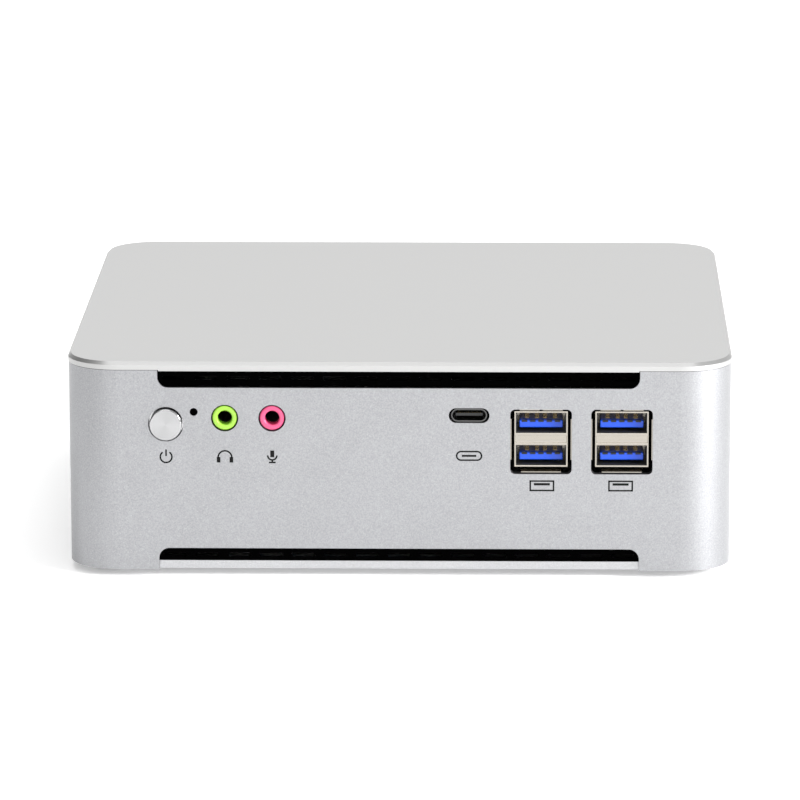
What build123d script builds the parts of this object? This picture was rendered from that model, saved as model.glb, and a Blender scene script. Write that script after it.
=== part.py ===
from build123d import *
import os

# Small desktop computer: an aluminium case of four walls between two flat covers, with the main board
# hanging upside down under the top cover and a cooler that draws air through the bottom cover.
# X runs to the right, Y to the back, Z up. The feet stand on Z = 0 and the bounding box is centred on
# the Z axis, so the case itself sits a little off centre in Y, because the aerial jacks stand out behind.

# ---- driving dimensions (millimetres) ----

# Case
WIDTH = 166.0
DEPTH = 157.0
FRAME_HEIGHT = 51.1
CORNER_RADIUS = 12.75
WALL = 2.5
TOP_THICKNESS = 2.0
TOP_CHAMFER = 0.8
TOP_OVERHANG = 0.15
TOP_STEP = 0.4
BOTTOM_THICKNESS = 2.0
BOTTOM_LIFT = 0.1
BOTTOM_EDGE_LIP = 0.9
FOOT_HEIGHT = 2.0
FOOT_RADIUS = 6.0
FOOT_INSET = 22.0
FIT_GAP = 0.1
SLIDE_GAP = 0.2

# Corner posts and the long screws that clamp the two covers
POST_REACH = 15.0
POST_ROUNDING = 3.0
SCREW_INSET = 9.0
COVER_SCREW_DIAMETER = 3.0
COVER_SCREW_HEAD = 5.6
COVER_SCREW_SOCKET = 2.0
SCREW_HOLE_GAP = 0.2
THREAD_GAP = 0.05
BOSS_DIAMETER = 6.0
BOSS_LENGTH = 4.0
BOSS_BORE_ROOF = 1.4

# Ventilation slots
SLOT_MARGIN = 23.0
UPPER_SLOT_HEIGHT = 4.53
LOWER_SLOT_HEIGHT = 5.5
SLOT_ROUNDING = 2.6
SCREEN_SKIN = 0.8
SCREEN_THICKNESS = 1.0
SCREEN_MARGIN = 2.0
SCREEN_SLOT_LENGTH = 6.0
SCREEN_SLOT_HEIGHT = 1.2
SCREEN_SLOT_PITCH = 8.0
LUG_SETBACK = 0.3

# Wall mount
MOUNT_SPACING = 75.0
MOUNT_THREAD = 4.0
MOUNT_NUT_DIAMETER = 8.0
MOUNT_NUT_HEIGHT = 2.4
MOUNT_COLLAR = 6.0

# Main board
BOARD_DROP = 9.8
BOARD_THICKNESS = 1.6
BOARD_SIDE_GAP = 1.5
BOARD_END_GAP = 2.0
BOARD_POST_GAP = 1.0
STANDOFF_INSET_X = 9.0
STANDOFF_INSET_Y = 19.5
STANDOFF_FLATS = 5.0
STANDOFF_SPIGOT = 4.0
STANDOFF_SPIGOT_LENGTH = 1.2
BOARD_SCREW_DIAMETER = 3.0
BOARD_SCREW_HEAD = 5.5
BOARD_SCREW_HEAD_HEIGHT = 2.0
BOARD_SCREW_LENGTH = 6.0

# Front panel: distances from the centre line and from the top edge of the frame
BUTTON_X = -58.0
BUTTON_DROP = 13.85
BUTTON_DIAMETER = 8.05
BUTTON_HOLE = 8.8
BUTTON_STICKOUT = 1.0
BUTTON_TRAVEL = 0.5
BUTTON_FLANGE = 9.6
BUTTON_FLANGE_THICKNESS = 0.6
BUTTON_STEM = 3.0
BUTTON_STEM_LENGTH = 2.2
BUTTON_ROUNDING = 0.35
PLUNGER_DIAMETER = 3.2
PLUNGER_LENGTH = 2.5
SWITCH_WIDTH = 6.2
SWITCH_DEPTH = 4.0
SWITCH_FRONT = 7.0
LIGHT_X = -51.0
LIGHT_DROP = 10.7
LIGHT_HOLE = 2.0
LIGHT_PIPE_LENGTH = 9.0
LIGHT_SETBACK = 0.3
JACK_XS = {"green": -43.3, "pink": -31.5}
JACK_DROP = 12.25
JACK_HOLE = 6.8
JACK_BARREL = 6.2
JACK_BORE = 3.6
JACK_BODY_WIDTH = 7.0
JACK_BODY_LENGTH = 11.5
JACK_BORE_DEPTH = 14.0
JACK_SETBACK = 0.2
JACK_BARREL_LENGTH = 4.1
TYPE_C_X = 17.56
TYPE_C_OPENING = (10.15, 3.78)
TYPE_C_SHELL = (8.94, 3.26)
TYPE_C_WALL = 0.3
TYPE_C_LENGTH = 8.5
TYPE_C_TONGUE = (6.7, 0.7)
TYPE_C_SETBACK = 0.5
TYPE_C_TONGUE_SETBACK = 1.1
TYPE_C_BLOCK = 2.0
USB_XS = (35.46, 55.57)
USB_OPENING = (15.3, 16.5)
USB_OPENING_SHIFT = 0.55
USB_ROUNDING = 1.2
USB_CAVITY = (12.5, 5.12)
USB_CAVITY_PITCH = 8.25
USB_WALL = 0.4
USB_LENGTH = 17.5
USB_SETBACK = 0.8
USB_TONGUE = (10.8, 1.84)
USB_TONGUE_SETBACK = 1.8
USB_TONGUE_LIFT = 1.0
USB_BLOCK_LENGTH = 7.0
USB_ABOVE = 0.65
USB_RAIL = 10.0
USB_LIPS = {"top": 0.5, "bottom": 1.2, "side": 0.85}
USB_LIP_THICKNESS = 0.4
USB_LIP_NOTCH = 1.2

# Rear panel
REAR_USB_X = -40.0
NETWORK_XS = (-1.0, -19.0)
NETWORK_BODY = (16.0, 13.5, 21.0)
NETWORK_MOUTH = (11.8, 8.0)
NETWORK_MOUTH_DEPTH = 16.0
VIDEO_XS = (20.0, 40.0)
VIDEO_SHELL = (15.0, 5.6)
VIDEO_WALL = 0.4
VIDEO_LENGTH = 11.5
VIDEO_TONGUE = (11.0, 1.2)
VIDEO_SETBACK = 0.5
VIDEO_TONGUE_SETBACK = 1.5
VIDEO_BLOCK = 3.0
INLET_X = 60.0
INLET_BODY = (9.0, 11.0, 13.0)
INLET_COLLAR = 8.0
INLET_BORE = 6.3
INLET_PIN = 2.5
INLET_BORE_DEPTH = 10.0
INLET_PIN_LENGTH = 8.5
PANEL_GAP = 0.4
AERIAL_XS = (-61.0, -49.0)
AERIAL_DROP = 31.0
AERIAL_STICKOUT = 7.5
AERIAL_THREAD = 6.35
AERIAL_ROOT = 5.5
AERIAL_BORE = 4.6
AERIAL_PIN = 0.9
AERIAL_FLATS = 8.0
AERIAL_INNER_LENGTH = 6.0
AERIAL_NUT_THICKNESS = 2.2
AERIAL_CHAMFER = 0.3
AERIAL_TAIL = 4.0
AERIAL_BORE_DEPTH = 5.5

# Cooler
COOLER_X = 43.0
COOLER_SIZE = 70.0
PROCESSOR_SIZE = 37.5
PROCESSOR_BOARD = 1.2
PROCESSOR_LID = 28.0
PROCESSOR_LID_HEIGHT = 0.7
SINK_BASE = 4.0
SINK_FIN_HEIGHT = 12.0
SINK_FIN_THICKNESS = 0.8
SINK_FIN_PITCH = 3.0
SINK_BAY = 17.0
SINK_SCREW_SPACING = 48.0
SINK_SCREW_DIAMETER = 3.0
SINK_SCREW_HEAD = 6.0
SINK_SCREW_HEAD_HEIGHT = 2.0
BACKPLATE_THICKNESS = 1.5
BACKPLATE_SIZE = 58.0
BACKPLATE_WINDOW = 32.0
BACKPLATE_ROUNDING = 5.0
FAN_HEIGHT = 15.0
FAN_BORE = 66.0
FAN_HOLE_SPACING = 61.5
FAN_POST = 6.0
FAN_SCREW_DIAMETER = 3.0
FAN_SCREW_HEAD = 5.5
FAN_SCREW_HEAD_HEIGHT = 1.8
FAN_SCREW_GRIP = 5.0
FAN_ROUNDING = 3.0
FAN_STRUT = (3.0, 2.0)
FAN_STATOR = 22.0
FAN_MOUNT = 27.0
FAN_SHAFT = 2.6
FAN_HUB = 28.0
FAN_HUB_WALL = 1.3
FAN_BLADE_ROOT = 1.0
FAN_HUB_HEIGHT = 11.4
FAN_HUB_GAP = 0.4
FAN_BLADES = 9
FAN_BLADE_CHORD = 13.0
FAN_BLADE_THICKNESS = 1.2
FAN_BLADE_PITCH = 35.0
FAN_TIP_RADIUS = 31.5
GRILLE_HOLE = 3.2
GRILLE_RING_PITCH = 5.0
GRILLE_RINGS = 6
GRILLE_FIRST_RING = 6

# Memory
MEMORY_X = -41.0
MEMORY_YS = {"front": -54.0, "rear": -21.0}
MEMORY_SOCKET = (73.0, 6.5, 5.2)
MEMORY_CARD = (67.6, 30.0, 1.0)
MEMORY_CARD_DROP = 2.6
MEMORY_CHIP = (9.0, 11.0, 1.0)
MEMORY_CHIP_PITCH = 15.0
MEMORY_CHIP_COUNT = 4
MEMORY_ARM_WIDTH = 1.6
MEMORY_ARM_END = 13.6
MEMORY_TAB_THICKNESS = 0.8
LATCH_PIVOT_Y = 15.4
LATCH_PIN = 1.2
LATCH_EYE = 2.6
LATCH_END_Y = 27.0
LATCH_THICKNESS = 0.6
LATCH_HOOK = 2.4
LATCH_HOOK_LENGTH = 3.0

# Plug-in cards
CARD_THICKNESS = 0.8
CHIP_HEIGHT = 1.0
CARD_DROP = 1.7
CARD_WIDTH = 22.0
DRIVE_LENGTH = 80.0
DRIVE_END_X = -76.0
DRIVE_Y = 25.0
WIRELESS_LENGTH = 30.0
WIRELESS_END_X = -62.0
WIRELESS_Y = 48.5
CARD_SOCKET = (7.5, 22.6, 4.0)
CARD_EDGE = 4.0
CARD_POST = 5.0
CARD_SCREW = 2.0
CARD_SCREW_HEAD = 4.0
CARD_SCREW_HEAD_HEIGHT = 0.8
# Chips on each card: (distance from the screwed end, length, width)
DRIVE_CHIPS = ((16.0, 14.0, 18.0), (34.0, 14.0, 18.0), (50.0, 9.0, 11.0), (64.0, 12.0, 12.0))
WIRELESS_CHIPS = ((17.0, 15.0, 17.0),)
LEAD_DIAMETER = 1.2
LEAD_BEND = 5.0
LEAD_PLUG = (2.6, 1.2)
LEAD_DROP = 9.0
LEAD_START_X = 3.5
LEAD_SPREAD = 12.0

# Small board parts
CHOKE_XS = (20.0, 29.0, 38.0, 47.0, 56.0)
CHOKE_Y = -43.0
CHOKE_SIZE = (7.0, 4.0)
CAPACITOR_Y = -52.0
CAPACITOR_SIZE = (6.3, 5.8)
CELL_PLACE = (0.0, 42.0)
CELL_DIAMETER = 20.0
CELL_THICKNESS = 3.2
CELL_HOLDER = 23.0
CELL_FLOOR = 1.0
HEADER_PLACE = (62.0, 46.0)
HEADER_SIZE = (7.6, 3.4, 3.5)
PLUG_SIZE = (7.6, 4.4, 5.3)
PLUG_CHAMFER = 0.4
FAN_LEAD_DIAMETER = 2.0
FAN_LEAD_BEND = 6.0
FAN_LEAD_RUN = 18.0

# ---- places worked out from them ----

OVERALL_DEPTH = DEPTH + BUTTON_STICKOUT + AERIAL_STICKOUT
FRONT = -OVERALL_DEPTH / 2 + BUTTON_STICKOUT
BACK = FRONT + DEPTH
MID_Y = (FRONT + BACK) / 2
FRAME_BOTTOM = FOOT_HEIGHT
FRAME_TOP = FRAME_BOTTOM + FRAME_HEIGHT
COVER_UNDERSIDE = FRAME_BOTTOM + BOTTOM_LIFT
COVER_TOP = COVER_UNDERSIDE + BOTTOM_THICKNESS
CEILING = FRAME_TOP - TOP_STEP
BOARD_UNDER = FRAME_TOP - BOARD_DROP
BOARD_TOP = BOARD_UNDER + BOARD_THICKNESS
INSIDE_FRONT = FRONT + WALL
INSIDE_BACK = BACK - WALL
BOARD_FRONT = INSIDE_FRONT + BOARD_END_GAP
BOARD_BACK = INSIDE_BACK - BOARD_END_GAP
JACK_HEIGHT = FRAME_TOP - JACK_DROP
USB_SHELL = (USB_CAVITY[0] + 2 * USB_WALL, USB_CAVITY[1] + USB_CAVITY_PITCH + 2 * USB_WALL)
USB_MIDDLE = BOARD_UNDER - USB_ABOVE - USB_SHELL[1] / 2
USB_OPENING_HEIGHT = USB_MIDDLE - USB_OPENING_SHIFT
TYPE_C_HEIGHT = BOARD_UNDER - TYPE_C_SHELL[1] / 2
UPPER_SLOT_FLOOR = FRAME_TOP - UPPER_SLOT_HEIGHT
LOWER_SLOT_ROOF = FRAME_BOTTOM + LOWER_SLOT_HEIGHT
NETWORK_HEIGHT = BOARD_UNDER - NETWORK_BODY[1] / 2
VIDEO_HEIGHT = BOARD_UNDER - VIDEO_SHELL[1] / 2
INLET_HEIGHT = BOARD_UNDER - INLET_BODY[1] / 2
AERIAL_HEIGHT = FRAME_TOP - AERIAL_DROP
# Each wall: its angle about Z, its outer face's distance from the case's middle, its slots' length
WALLS = [
    (0, DEPTH / 2, WIDTH - 2 * SLOT_MARGIN),
    (90, WIDTH / 2, DEPTH - 2 * SLOT_MARGIN),
    (180, DEPTH / 2, WIDTH - 2 * SLOT_MARGIN),
    (270, WIDTH / 2, DEPTH - 2 * SLOT_MARGIN),
]


def corner_places(inset_x, inset_y):
    """The four places that stand this far in from the side and end faces of the case."""
    x = WIDTH / 2 - inset_x
    y = DEPTH / 2 - inset_y
    return [(side * x, MID_Y + end * y) for side in (-1, 1) for end in (-1, 1)]


def wall_plane(angle, distance, height=0.0):
    """Plane parallel to a wall, this far out from the case's middle: X along it, Y up and Z outwards."""
    outwards = Vector(0, -1, 0).rotate(Axis.Z, angle)
    along = Vector(1, 0, 0).rotate(Axis.Z, angle)
    return Plane(origin=Vector(0, MID_Y, height) + outwards * distance, x_dir=along, z_dir=outwards)


def hanging(x, y, z):
    """Place whose Z points down, for what is drilled or driven from below."""
    return Location((x, y, z), (180, 0, 0))


SCREW_PLACES = corner_places(SCREW_INSET, SCREW_INSET)
STANDOFF_PLACES = corner_places(STANDOFF_INSET_X, STANDOFF_INSET_Y)
FRONT_FACE = wall_plane(0, DEPTH / 2)
BACK_FACE = wall_plane(180, DEPTH / 2)

os.makedirs("parts", exist_ok=True)

# ---- the case ----


def post_blocks(reach, mode=Mode.ADD):
    """Blocks that overhang the case's corners, so that inside it each one is a post of this reach."""
    side = reach + CORNER_RADIUS
    with Locations(*corner_places(reach - side / 2, reach - side / 2)):
        RectangleRounded(side, side, POST_ROUNDING, mode=mode)


# Four walls with a solid post in each corner. The slots are notches in the top and bottom edges, and
# each has a pocket behind it, so that only a thin skin stands in front of its screen.
with BuildPart() as case_frame:
    with BuildSketch(Plane.XY.offset(FRAME_BOTTOM)):
        with Locations((0, MID_Y)):
            Rectangle(WIDTH, DEPTH)
            Rectangle(WIDTH - 2 * WALL, DEPTH - 2 * WALL, mode=Mode.SUBTRACT)
        post_blocks(POST_REACH)
        with Locations((0, MID_Y)):
            RectangleRounded(WIDTH, DEPTH, CORNER_RADIUS, mode=Mode.INTERSECT)
    extrude(amount=FRAME_HEIGHT)
    # Rebate for the bottom cover
    with BuildSketch(Plane.XY.offset(FRAME_BOTTOM)):
        with Locations((0, MID_Y)):
            RectangleRounded(
                WIDTH - 2 * BOTTOM_EDGE_LIP, DEPTH - 2 * BOTTOM_EDGE_LIP, CORNER_RADIUS - BOTTOM_EDGE_LIP
            )
    extrude(amount=BOTTOM_LIFT + BOTTOM_THICKNESS, mode=Mode.SUBTRACT)
    # Slots and the pockets behind them, cut straight through two walls at a time
    for angle, distance, length in WALLS[:2]:
        with BuildSketch(wall_plane(angle, 0)):
            with Locations((0, UPPER_SLOT_FLOOR + UPPER_SLOT_HEIGHT)):
                RectangleRounded(length, 2 * UPPER_SLOT_HEIGHT, SLOT_ROUNDING)
            with Locations((0, FRAME_BOTTOM)):
                RectangleRounded(length, 2 * LOWER_SLOT_HEIGHT, SLOT_ROUNDING)
        extrude(amount=distance, both=True, mode=Mode.SUBTRACT)
        with BuildSketch(wall_plane(angle, 0)):
            with Locations((0, FRAME_TOP)):
                Rectangle(length + 2 * SCREEN_MARGIN, 2 * (UPPER_SLOT_HEIGHT + SCREEN_MARGIN))
            with Locations((0, FRAME_BOTTOM)):
                Rectangle(length + 2 * SCREEN_MARGIN, 2 * (LOWER_SLOT_HEIGHT + SCREEN_MARGIN))
        extrude(amount=distance - SCREEN_SKIN, both=True, mode=Mode.SUBTRACT)
    # Long screw holes through the posts, wider at the top for the top cover's bosses
    with Locations(*[(x, y, FRAME_TOP) for x, y in SCREW_PLACES]):
        CounterBoreHole(
            COVER_SCREW_DIAMETER / 2 + SCREW_HOLE_GAP, BOSS_DIAMETER / 2 + FIT_GAP, BOSS_LENGTH + FIT_GAP
        )
    # Front panel
    with BuildSketch(FRONT_FACE):
        with Locations((BUTTON_X, FRAME_TOP - BUTTON_DROP)):
            Circle(BUTTON_HOLE / 2)
        with Locations((LIGHT_X, FRAME_TOP - LIGHT_DROP)):
            Circle(LIGHT_HOLE / 2)
        with Locations(*[(x, JACK_HEIGHT) for x in JACK_XS.values()]):
            Circle(JACK_HOLE / 2)
        with Locations((TYPE_C_X, TYPE_C_HEIGHT)):
            SlotOverall(*TYPE_C_OPENING)
        with Locations(*[(x, USB_OPENING_HEIGHT) for x in USB_XS]):
            RectangleRounded(*USB_OPENING, USB_ROUNDING)
    extrude(amount=-WALL, mode=Mode.SUBTRACT)
    # Rear panel, seen from behind, so X runs the other way
    with BuildSketch(BACK_FACE):
        with Locations((-REAR_USB_X, USB_OPENING_HEIGHT)):
            RectangleRounded(*USB_OPENING, USB_ROUNDING)
        with Locations(*[(-x, NETWORK_HEIGHT) for x in NETWORK_XS]):
            Rectangle(NETWORK_BODY[0] + PANEL_GAP, NETWORK_BODY[1] + PANEL_GAP)
        with Locations(*[(-x, VIDEO_HEIGHT) for x in VIDEO_XS]):
            RectangleRounded(VIDEO_SHELL[0] + PANEL_GAP, VIDEO_SHELL[1] + PANEL_GAP, PANEL_GAP)
        with Locations((-INLET_X, INLET_HEIGHT)):
            Circle((INLET_COLLAR + PANEL_GAP) / 2)
        with Locations(*[(-x, AERIAL_HEIGHT) for x in AERIAL_XS]):
            Circle(AERIAL_THREAD / 2 + FIT_GAP)
    extrude(amount=-WALL, mode=Mode.SUBTRACT)
case_frame.part.label = "case_frame"
export_step(case_frame.part, "parts/case_frame.step")

# Flat cover with a bright bevelled edge. Under it a low step sits inside the walls, lugs fill the last
# part of each slot, and four tapped bosses enter the posts.
with BuildPart() as top_cover:
    with BuildSketch(Plane.XY.offset(FRAME_TOP)):
        with Locations((0, MID_Y)):
            RectangleRounded(
                WIDTH + 2 * TOP_OVERHANG, DEPTH + 2 * TOP_OVERHANG, CORNER_RADIUS + TOP_OVERHANG
            )
    extrude(amount=TOP_THICKNESS)
    chamfer(top_cover.faces().sort_by(Axis.Z)[-1].edges(), TOP_CHAMFER)
    with BuildSketch(Plane.XY.offset(CEILING)):
        with Locations((0, MID_Y)):
            Rectangle(WIDTH - 2 * (WALL + SLIDE_GAP), DEPTH - 2 * (WALL + SLIDE_GAP))
            Rectangle(WALLS[0][2] - 2 * SLIDE_GAP, DEPTH - 2 * LUG_SETBACK)
            Rectangle(WIDTH - 2 * LUG_SETBACK, WALLS[1][2] - 2 * SLIDE_GAP)
        post_blocks(POST_REACH + SLIDE_GAP, Mode.SUBTRACT)
    extrude(amount=TOP_STEP)
    with BuildSketch(Plane.XY.offset(FRAME_TOP)):
        with Locations(*SCREW_PLACES):
            Circle(BOSS_DIAMETER / 2)
    extrude(amount=-BOSS_LENGTH)
    with Locations(*[hanging(x, y, FRAME_TOP - BOSS_LENGTH) for x, y in SCREW_PLACES]):
        Hole(COVER_SCREW_DIAMETER / 2, depth=BOSS_LENGTH + TOP_THICKNESS - BOSS_BORE_ROOF)
    with Locations(*[hanging(x, y, CEILING) for x, y in STANDOFF_PLACES]):
        Hole(STANDOFF_SPIGOT / 2, depth=STANDOFF_SPIGOT_LENGTH + FIT_GAP)
top_cover.part.label = "top_cover"
export_step(top_cover.part, "parts/top_cover.step")

# Flat cover in the rebate under the walls, with the fan's round grille and the wall mount's holes
MOUNT_PLACES = [(x * MOUNT_SPACING / 2, MID_Y + y * MOUNT_SPACING / 2) for x in (-1, 1) for y in (-1, 1)]
BOTTOM_INSET = BOTTOM_EDGE_LIP + FIT_GAP
with BuildPart() as bottom_cover:
    with BuildSketch(Plane.XY.offset(COVER_UNDERSIDE)):
        with Locations((0, MID_Y)):
            RectangleRounded(
                WIDTH - 2 * BOTTOM_INSET, DEPTH - 2 * BOTTOM_INSET, CORNER_RADIUS - BOTTOM_INSET
            )
        with Locations(*MOUNT_PLACES):
            Circle(MOUNT_COLLAR / 2, mode=Mode.SUBTRACT)
        with Locations((COOLER_X, MID_Y)):
            for ring in range(1, GRILLE_RINGS + 1):
                with PolarLocations(ring * GRILLE_RING_PITCH, GRILLE_FIRST_RING * ring):
                    Circle(GRILLE_HOLE / 2, mode=Mode.SUBTRACT)
    extrude(amount=BOTTOM_THICKNESS)
    with Locations(*[hanging(x, y, COVER_UNDERSIDE) for x, y in SCREW_PLACES]):
        CounterSinkHole(
            COVER_SCREW_DIAMETER / 2 + SCREW_HOLE_GAP, COVER_SCREW_HEAD / 2, BOTTOM_THICKNESS, 90
        )
bottom_cover.part.label = "bottom_cover"
export_step(bottom_cover.part, "parts/bottom_cover.step")

with BuildPart() as rubber_feet:
    with BuildSketch():
        with Locations(*corner_places(FOOT_INSET, FOOT_INSET)):
            Circle(FOOT_RADIUS)
    extrude(amount=COVER_UNDERSIDE)
    fillet(rubber_feet.faces().filter_by(Axis.Z).group_by(Axis.Z)[0].edges(), FOOT_HEIGHT / 4)
rubber_feet.part.label = "rubber_feet"
export_step(rubber_feet.part, "parts/rubber_feet.step")

# Long countersunk screws from the bottom cover, through the posts and into the top cover's bosses
COVER_SCREW_CONE = (COVER_SCREW_HEAD - COVER_SCREW_DIAMETER) / 2
COVER_SCREW_TIP = FRAME_TOP + TOP_THICKNESS - BOSS_BORE_ROOF - SLIDE_GAP
with BuildPart() as cover_screws:
    with BuildSketch(Plane.XY.offset(COVER_UNDERSIDE)):
        with Locations(*SCREW_PLACES):
            Circle(COVER_SCREW_DIAMETER / 2 - THREAD_GAP)
    extrude(amount=COVER_SCREW_TIP - COVER_UNDERSIDE)
    with Locations(*[(x, y, COVER_UNDERSIDE + COVER_SCREW_CONE / 2) for x, y in SCREW_PLACES]):
        Cone(COVER_SCREW_HEAD / 2, COVER_SCREW_DIAMETER / 2, COVER_SCREW_CONE)
    with BuildSketch(Plane.XY.offset(COVER_UNDERSIDE)):
        with Locations(*SCREW_PLACES):
            RegularPolygon(COVER_SCREW_SOCKET / 2, 6, major_radius=False)
    extrude(amount=COVER_SCREW_CONE, mode=Mode.SUBTRACT)
cover_screws.part.label = "cover_screws"
export_step(cover_screws.part, "parts/cover_screws.step")


# Thin screens glued behind the slots, pierced by two rows of short slots
SCREEN_LEVELS = {
    "upper_vent_screens": (UPPER_SLOT_FLOOR - SCREEN_MARGIN + FIT_GAP, CEILING - FIT_GAP),
    "lower_vent_screens": (COVER_TOP + FIT_GAP, LOWER_SLOT_ROOF + SCREEN_MARGIN - FIT_GAP),
}
for name, (low, high) in SCREEN_LEVELS.items():
    with BuildPart() as vent_screens:
        for angle, distance, length in WALLS:
            with BuildSketch(wall_plane(angle, distance - SCREEN_SKIN, (low + high) / 2)):
                Rectangle(length + 2 * (SCREEN_MARGIN - FIT_GAP), high - low)
                with GridLocations(
                    SCREEN_SLOT_PITCH, 2 * SCREEN_SLOT_HEIGHT, int(length // SCREEN_SLOT_PITCH), 2
                ):
                    SlotOverall(SCREEN_SLOT_LENGTH, SCREEN_SLOT_HEIGHT, mode=Mode.SUBTRACT)
            extrude(amount=-SCREEN_THICKNESS)
    vent_screens.part.label = name
    export_step(vent_screens.part, f"parts/{name}.step")

# Nuts pressed into the bottom cover, for a bracket behind a screen or on a wall
with BuildPart() as wall_mount_nuts:
    with BuildSketch(Plane.XY.offset(COVER_UNDERSIDE)):
        with Locations(*MOUNT_PLACES):
            Circle(MOUNT_COLLAR / 2)
    extrude(amount=BOTTOM_THICKNESS)
    with BuildSketch(Plane.XY.offset(COVER_TOP)):
        with Locations(*MOUNT_PLACES):
            Circle(MOUNT_NUT_DIAMETER / 2)
    extrude(amount=MOUNT_NUT_HEIGHT)
    with Locations(*[(x, y, COVER_TOP + MOUNT_NUT_HEIGHT) for x, y in MOUNT_PLACES]):
        Hole(MOUNT_THREAD / 2)
wall_mount_nuts.part.label = "wall_mount_nuts"
export_step(wall_mount_nuts.part, "parts/wall_mount_nuts.step")

# ---- main board and cooler ----

# Board with a notch for each post, hung from the top cover
with BuildPart() as main_board:
    with BuildSketch(Plane.XY.offset(BOARD_UNDER)):
        with Locations((0, MID_Y)):
            Rectangle(WIDTH - 2 * (WALL + BOARD_SIDE_GAP), BOARD_BACK - BOARD_FRONT)
        post_blocks(POST_REACH + BOARD_POST_GAP, Mode.SUBTRACT)
        with Locations(*STANDOFF_PLACES):
            Circle(BOARD_SCREW_DIAMETER / 2 + SCREW_HOLE_GAP, mode=Mode.SUBTRACT)
        with Locations((COOLER_X, MID_Y)):
            with GridLocations(SINK_SCREW_SPACING, SINK_SCREW_SPACING, 2, 2):
                Circle(SINK_SCREW_DIAMETER / 2 + SCREW_HOLE_GAP, mode=Mode.SUBTRACT)
    extrude(amount=BOARD_THICKNESS)
main_board.part.label = "main_board"
export_step(main_board.part, "parts/main_board.step")

# Brass pillars: a plain spigot in the top cover, hexagon flats and a tapped lower end
with BuildPart() as board_standoffs:
    with BuildSketch(Plane.XY.offset(BOARD_TOP)):
        with Locations(*STANDOFF_PLACES):
            RegularPolygon(STANDOFF_FLATS / 2, 6, major_radius=False)
    extrude(amount=CEILING - BOARD_TOP)
    with BuildSketch(Plane.XY.offset(CEILING)):
        with Locations(*STANDOFF_PLACES):
            Circle(STANDOFF_SPIGOT / 2 - THREAD_GAP)
    extrude(amount=STANDOFF_SPIGOT_LENGTH)
    with Locations(*[hanging(x, y, BOARD_TOP) for x, y in STANDOFF_PLACES]):
        Hole(BOARD_SCREW_DIAMETER / 2, depth=BOARD_SCREW_LENGTH - BOARD_THICKNESS + SLIDE_GAP)
board_standoffs.part.label = "board_standoffs"
export_step(board_standoffs.part, "parts/board_standoffs.step")

with BuildPart() as board_screws:
    with BuildSketch(Plane.XY.offset(BOARD_UNDER)):
        with Locations(*STANDOFF_PLACES):
            Circle(BOARD_SCREW_DIAMETER / 2 - THREAD_GAP)
    extrude(amount=BOARD_SCREW_LENGTH)
    with BuildSketch(Plane.XY.offset(BOARD_UNDER)):
        with Locations(*STANDOFF_PLACES):
            Circle(BOARD_SCREW_HEAD / 2)
    extrude(amount=-BOARD_SCREW_HEAD_HEIGHT)
    fillet(board_screws.faces().filter_by(Axis.Z).group_by(Axis.Z)[0].edges(), BOARD_SCREW_HEAD_HEIGHT / 4)
board_screws.part.label = "board_screws"
export_step(board_screws.part, "parts/board_screws.step")

# Processor soldered under the board, with its metal lid towards the heat sink
with BuildPart() as processor:
    with BuildSketch(Plane.XY.offset(BOARD_UNDER)):
        with Locations((COOLER_X, MID_Y)):
            Rectangle(PROCESSOR_SIZE, PROCESSOR_SIZE)
    extrude(amount=-PROCESSOR_BOARD)
    with BuildSketch(Plane.XY.offset(BOARD_UNDER - PROCESSOR_BOARD)):
        with Locations((COOLER_X, MID_Y)):
            RectangleRounded(PROCESSOR_LID, PROCESSOR_LID, PROCESSOR_LID_HEIGHT)
    extrude(amount=-PROCESSOR_LID_HEIGHT)
processor.part.label = "processor"
export_step(processor.part, "parts/processor.step")

# Heat sink: base plate, upright fins with a free bay in each corner, and four tapped posts for the fan
SINK_TOP = BOARD_UNDER - PROCESSOR_BOARD - PROCESSOR_LID_HEIGHT
SINK_UNDERSIDE = SINK_TOP - SINK_BASE
FAN_TOP = SINK_UNDERSIDE - SINK_FIN_HEIGHT
FAN_UNDERSIDE = FAN_TOP - FAN_HEIGHT
FIN_COUNT = int((COOLER_SIZE - SINK_FIN_THICKNESS) // SINK_FIN_PITCH) + 1
with BuildPart() as heat_sink:
    with BuildSketch(Plane.XY.offset(SINK_UNDERSIDE)):
        with Locations((COOLER_X, MID_Y)):
            RectangleRounded(COOLER_SIZE, COOLER_SIZE, FAN_ROUNDING)
            with GridLocations(SINK_SCREW_SPACING, SINK_SCREW_SPACING, 2, 2):
                Circle(SINK_SCREW_DIAMETER / 2 + SCREW_HOLE_GAP, mode=Mode.SUBTRACT)
    extrude(amount=SINK_BASE)
    with BuildSketch(Plane.XY.offset(SINK_UNDERSIDE)):
        with Locations((COOLER_X, MID_Y)):
            with GridLocations(SINK_FIN_PITCH, COOLER_SIZE, FIN_COUNT, 1):
                Rectangle(SINK_FIN_THICKNESS, COOLER_SIZE - 2 * FAN_ROUNDING)
            with GridLocations(COOLER_SIZE - SINK_BAY, COOLER_SIZE - SINK_BAY, 2, 2):
                Rectangle(SINK_BAY, SINK_BAY, mode=Mode.SUBTRACT)
            with GridLocations(FAN_HOLE_SPACING, FAN_HOLE_SPACING, 2, 2):
                Circle(FAN_POST / 2)
    extrude(amount=-SINK_FIN_HEIGHT)
    with Locations(hanging(COOLER_X, MID_Y, FAN_TOP)):
        with GridLocations(FAN_HOLE_SPACING, FAN_HOLE_SPACING, 2, 2):
            Hole(FAN_SCREW_DIAMETER / 2, depth=FAN_SCREW_GRIP + SLIDE_GAP)
heat_sink.part.label = "heat_sink"
export_step(heat_sink.part, "parts/heat_sink.step")

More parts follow.
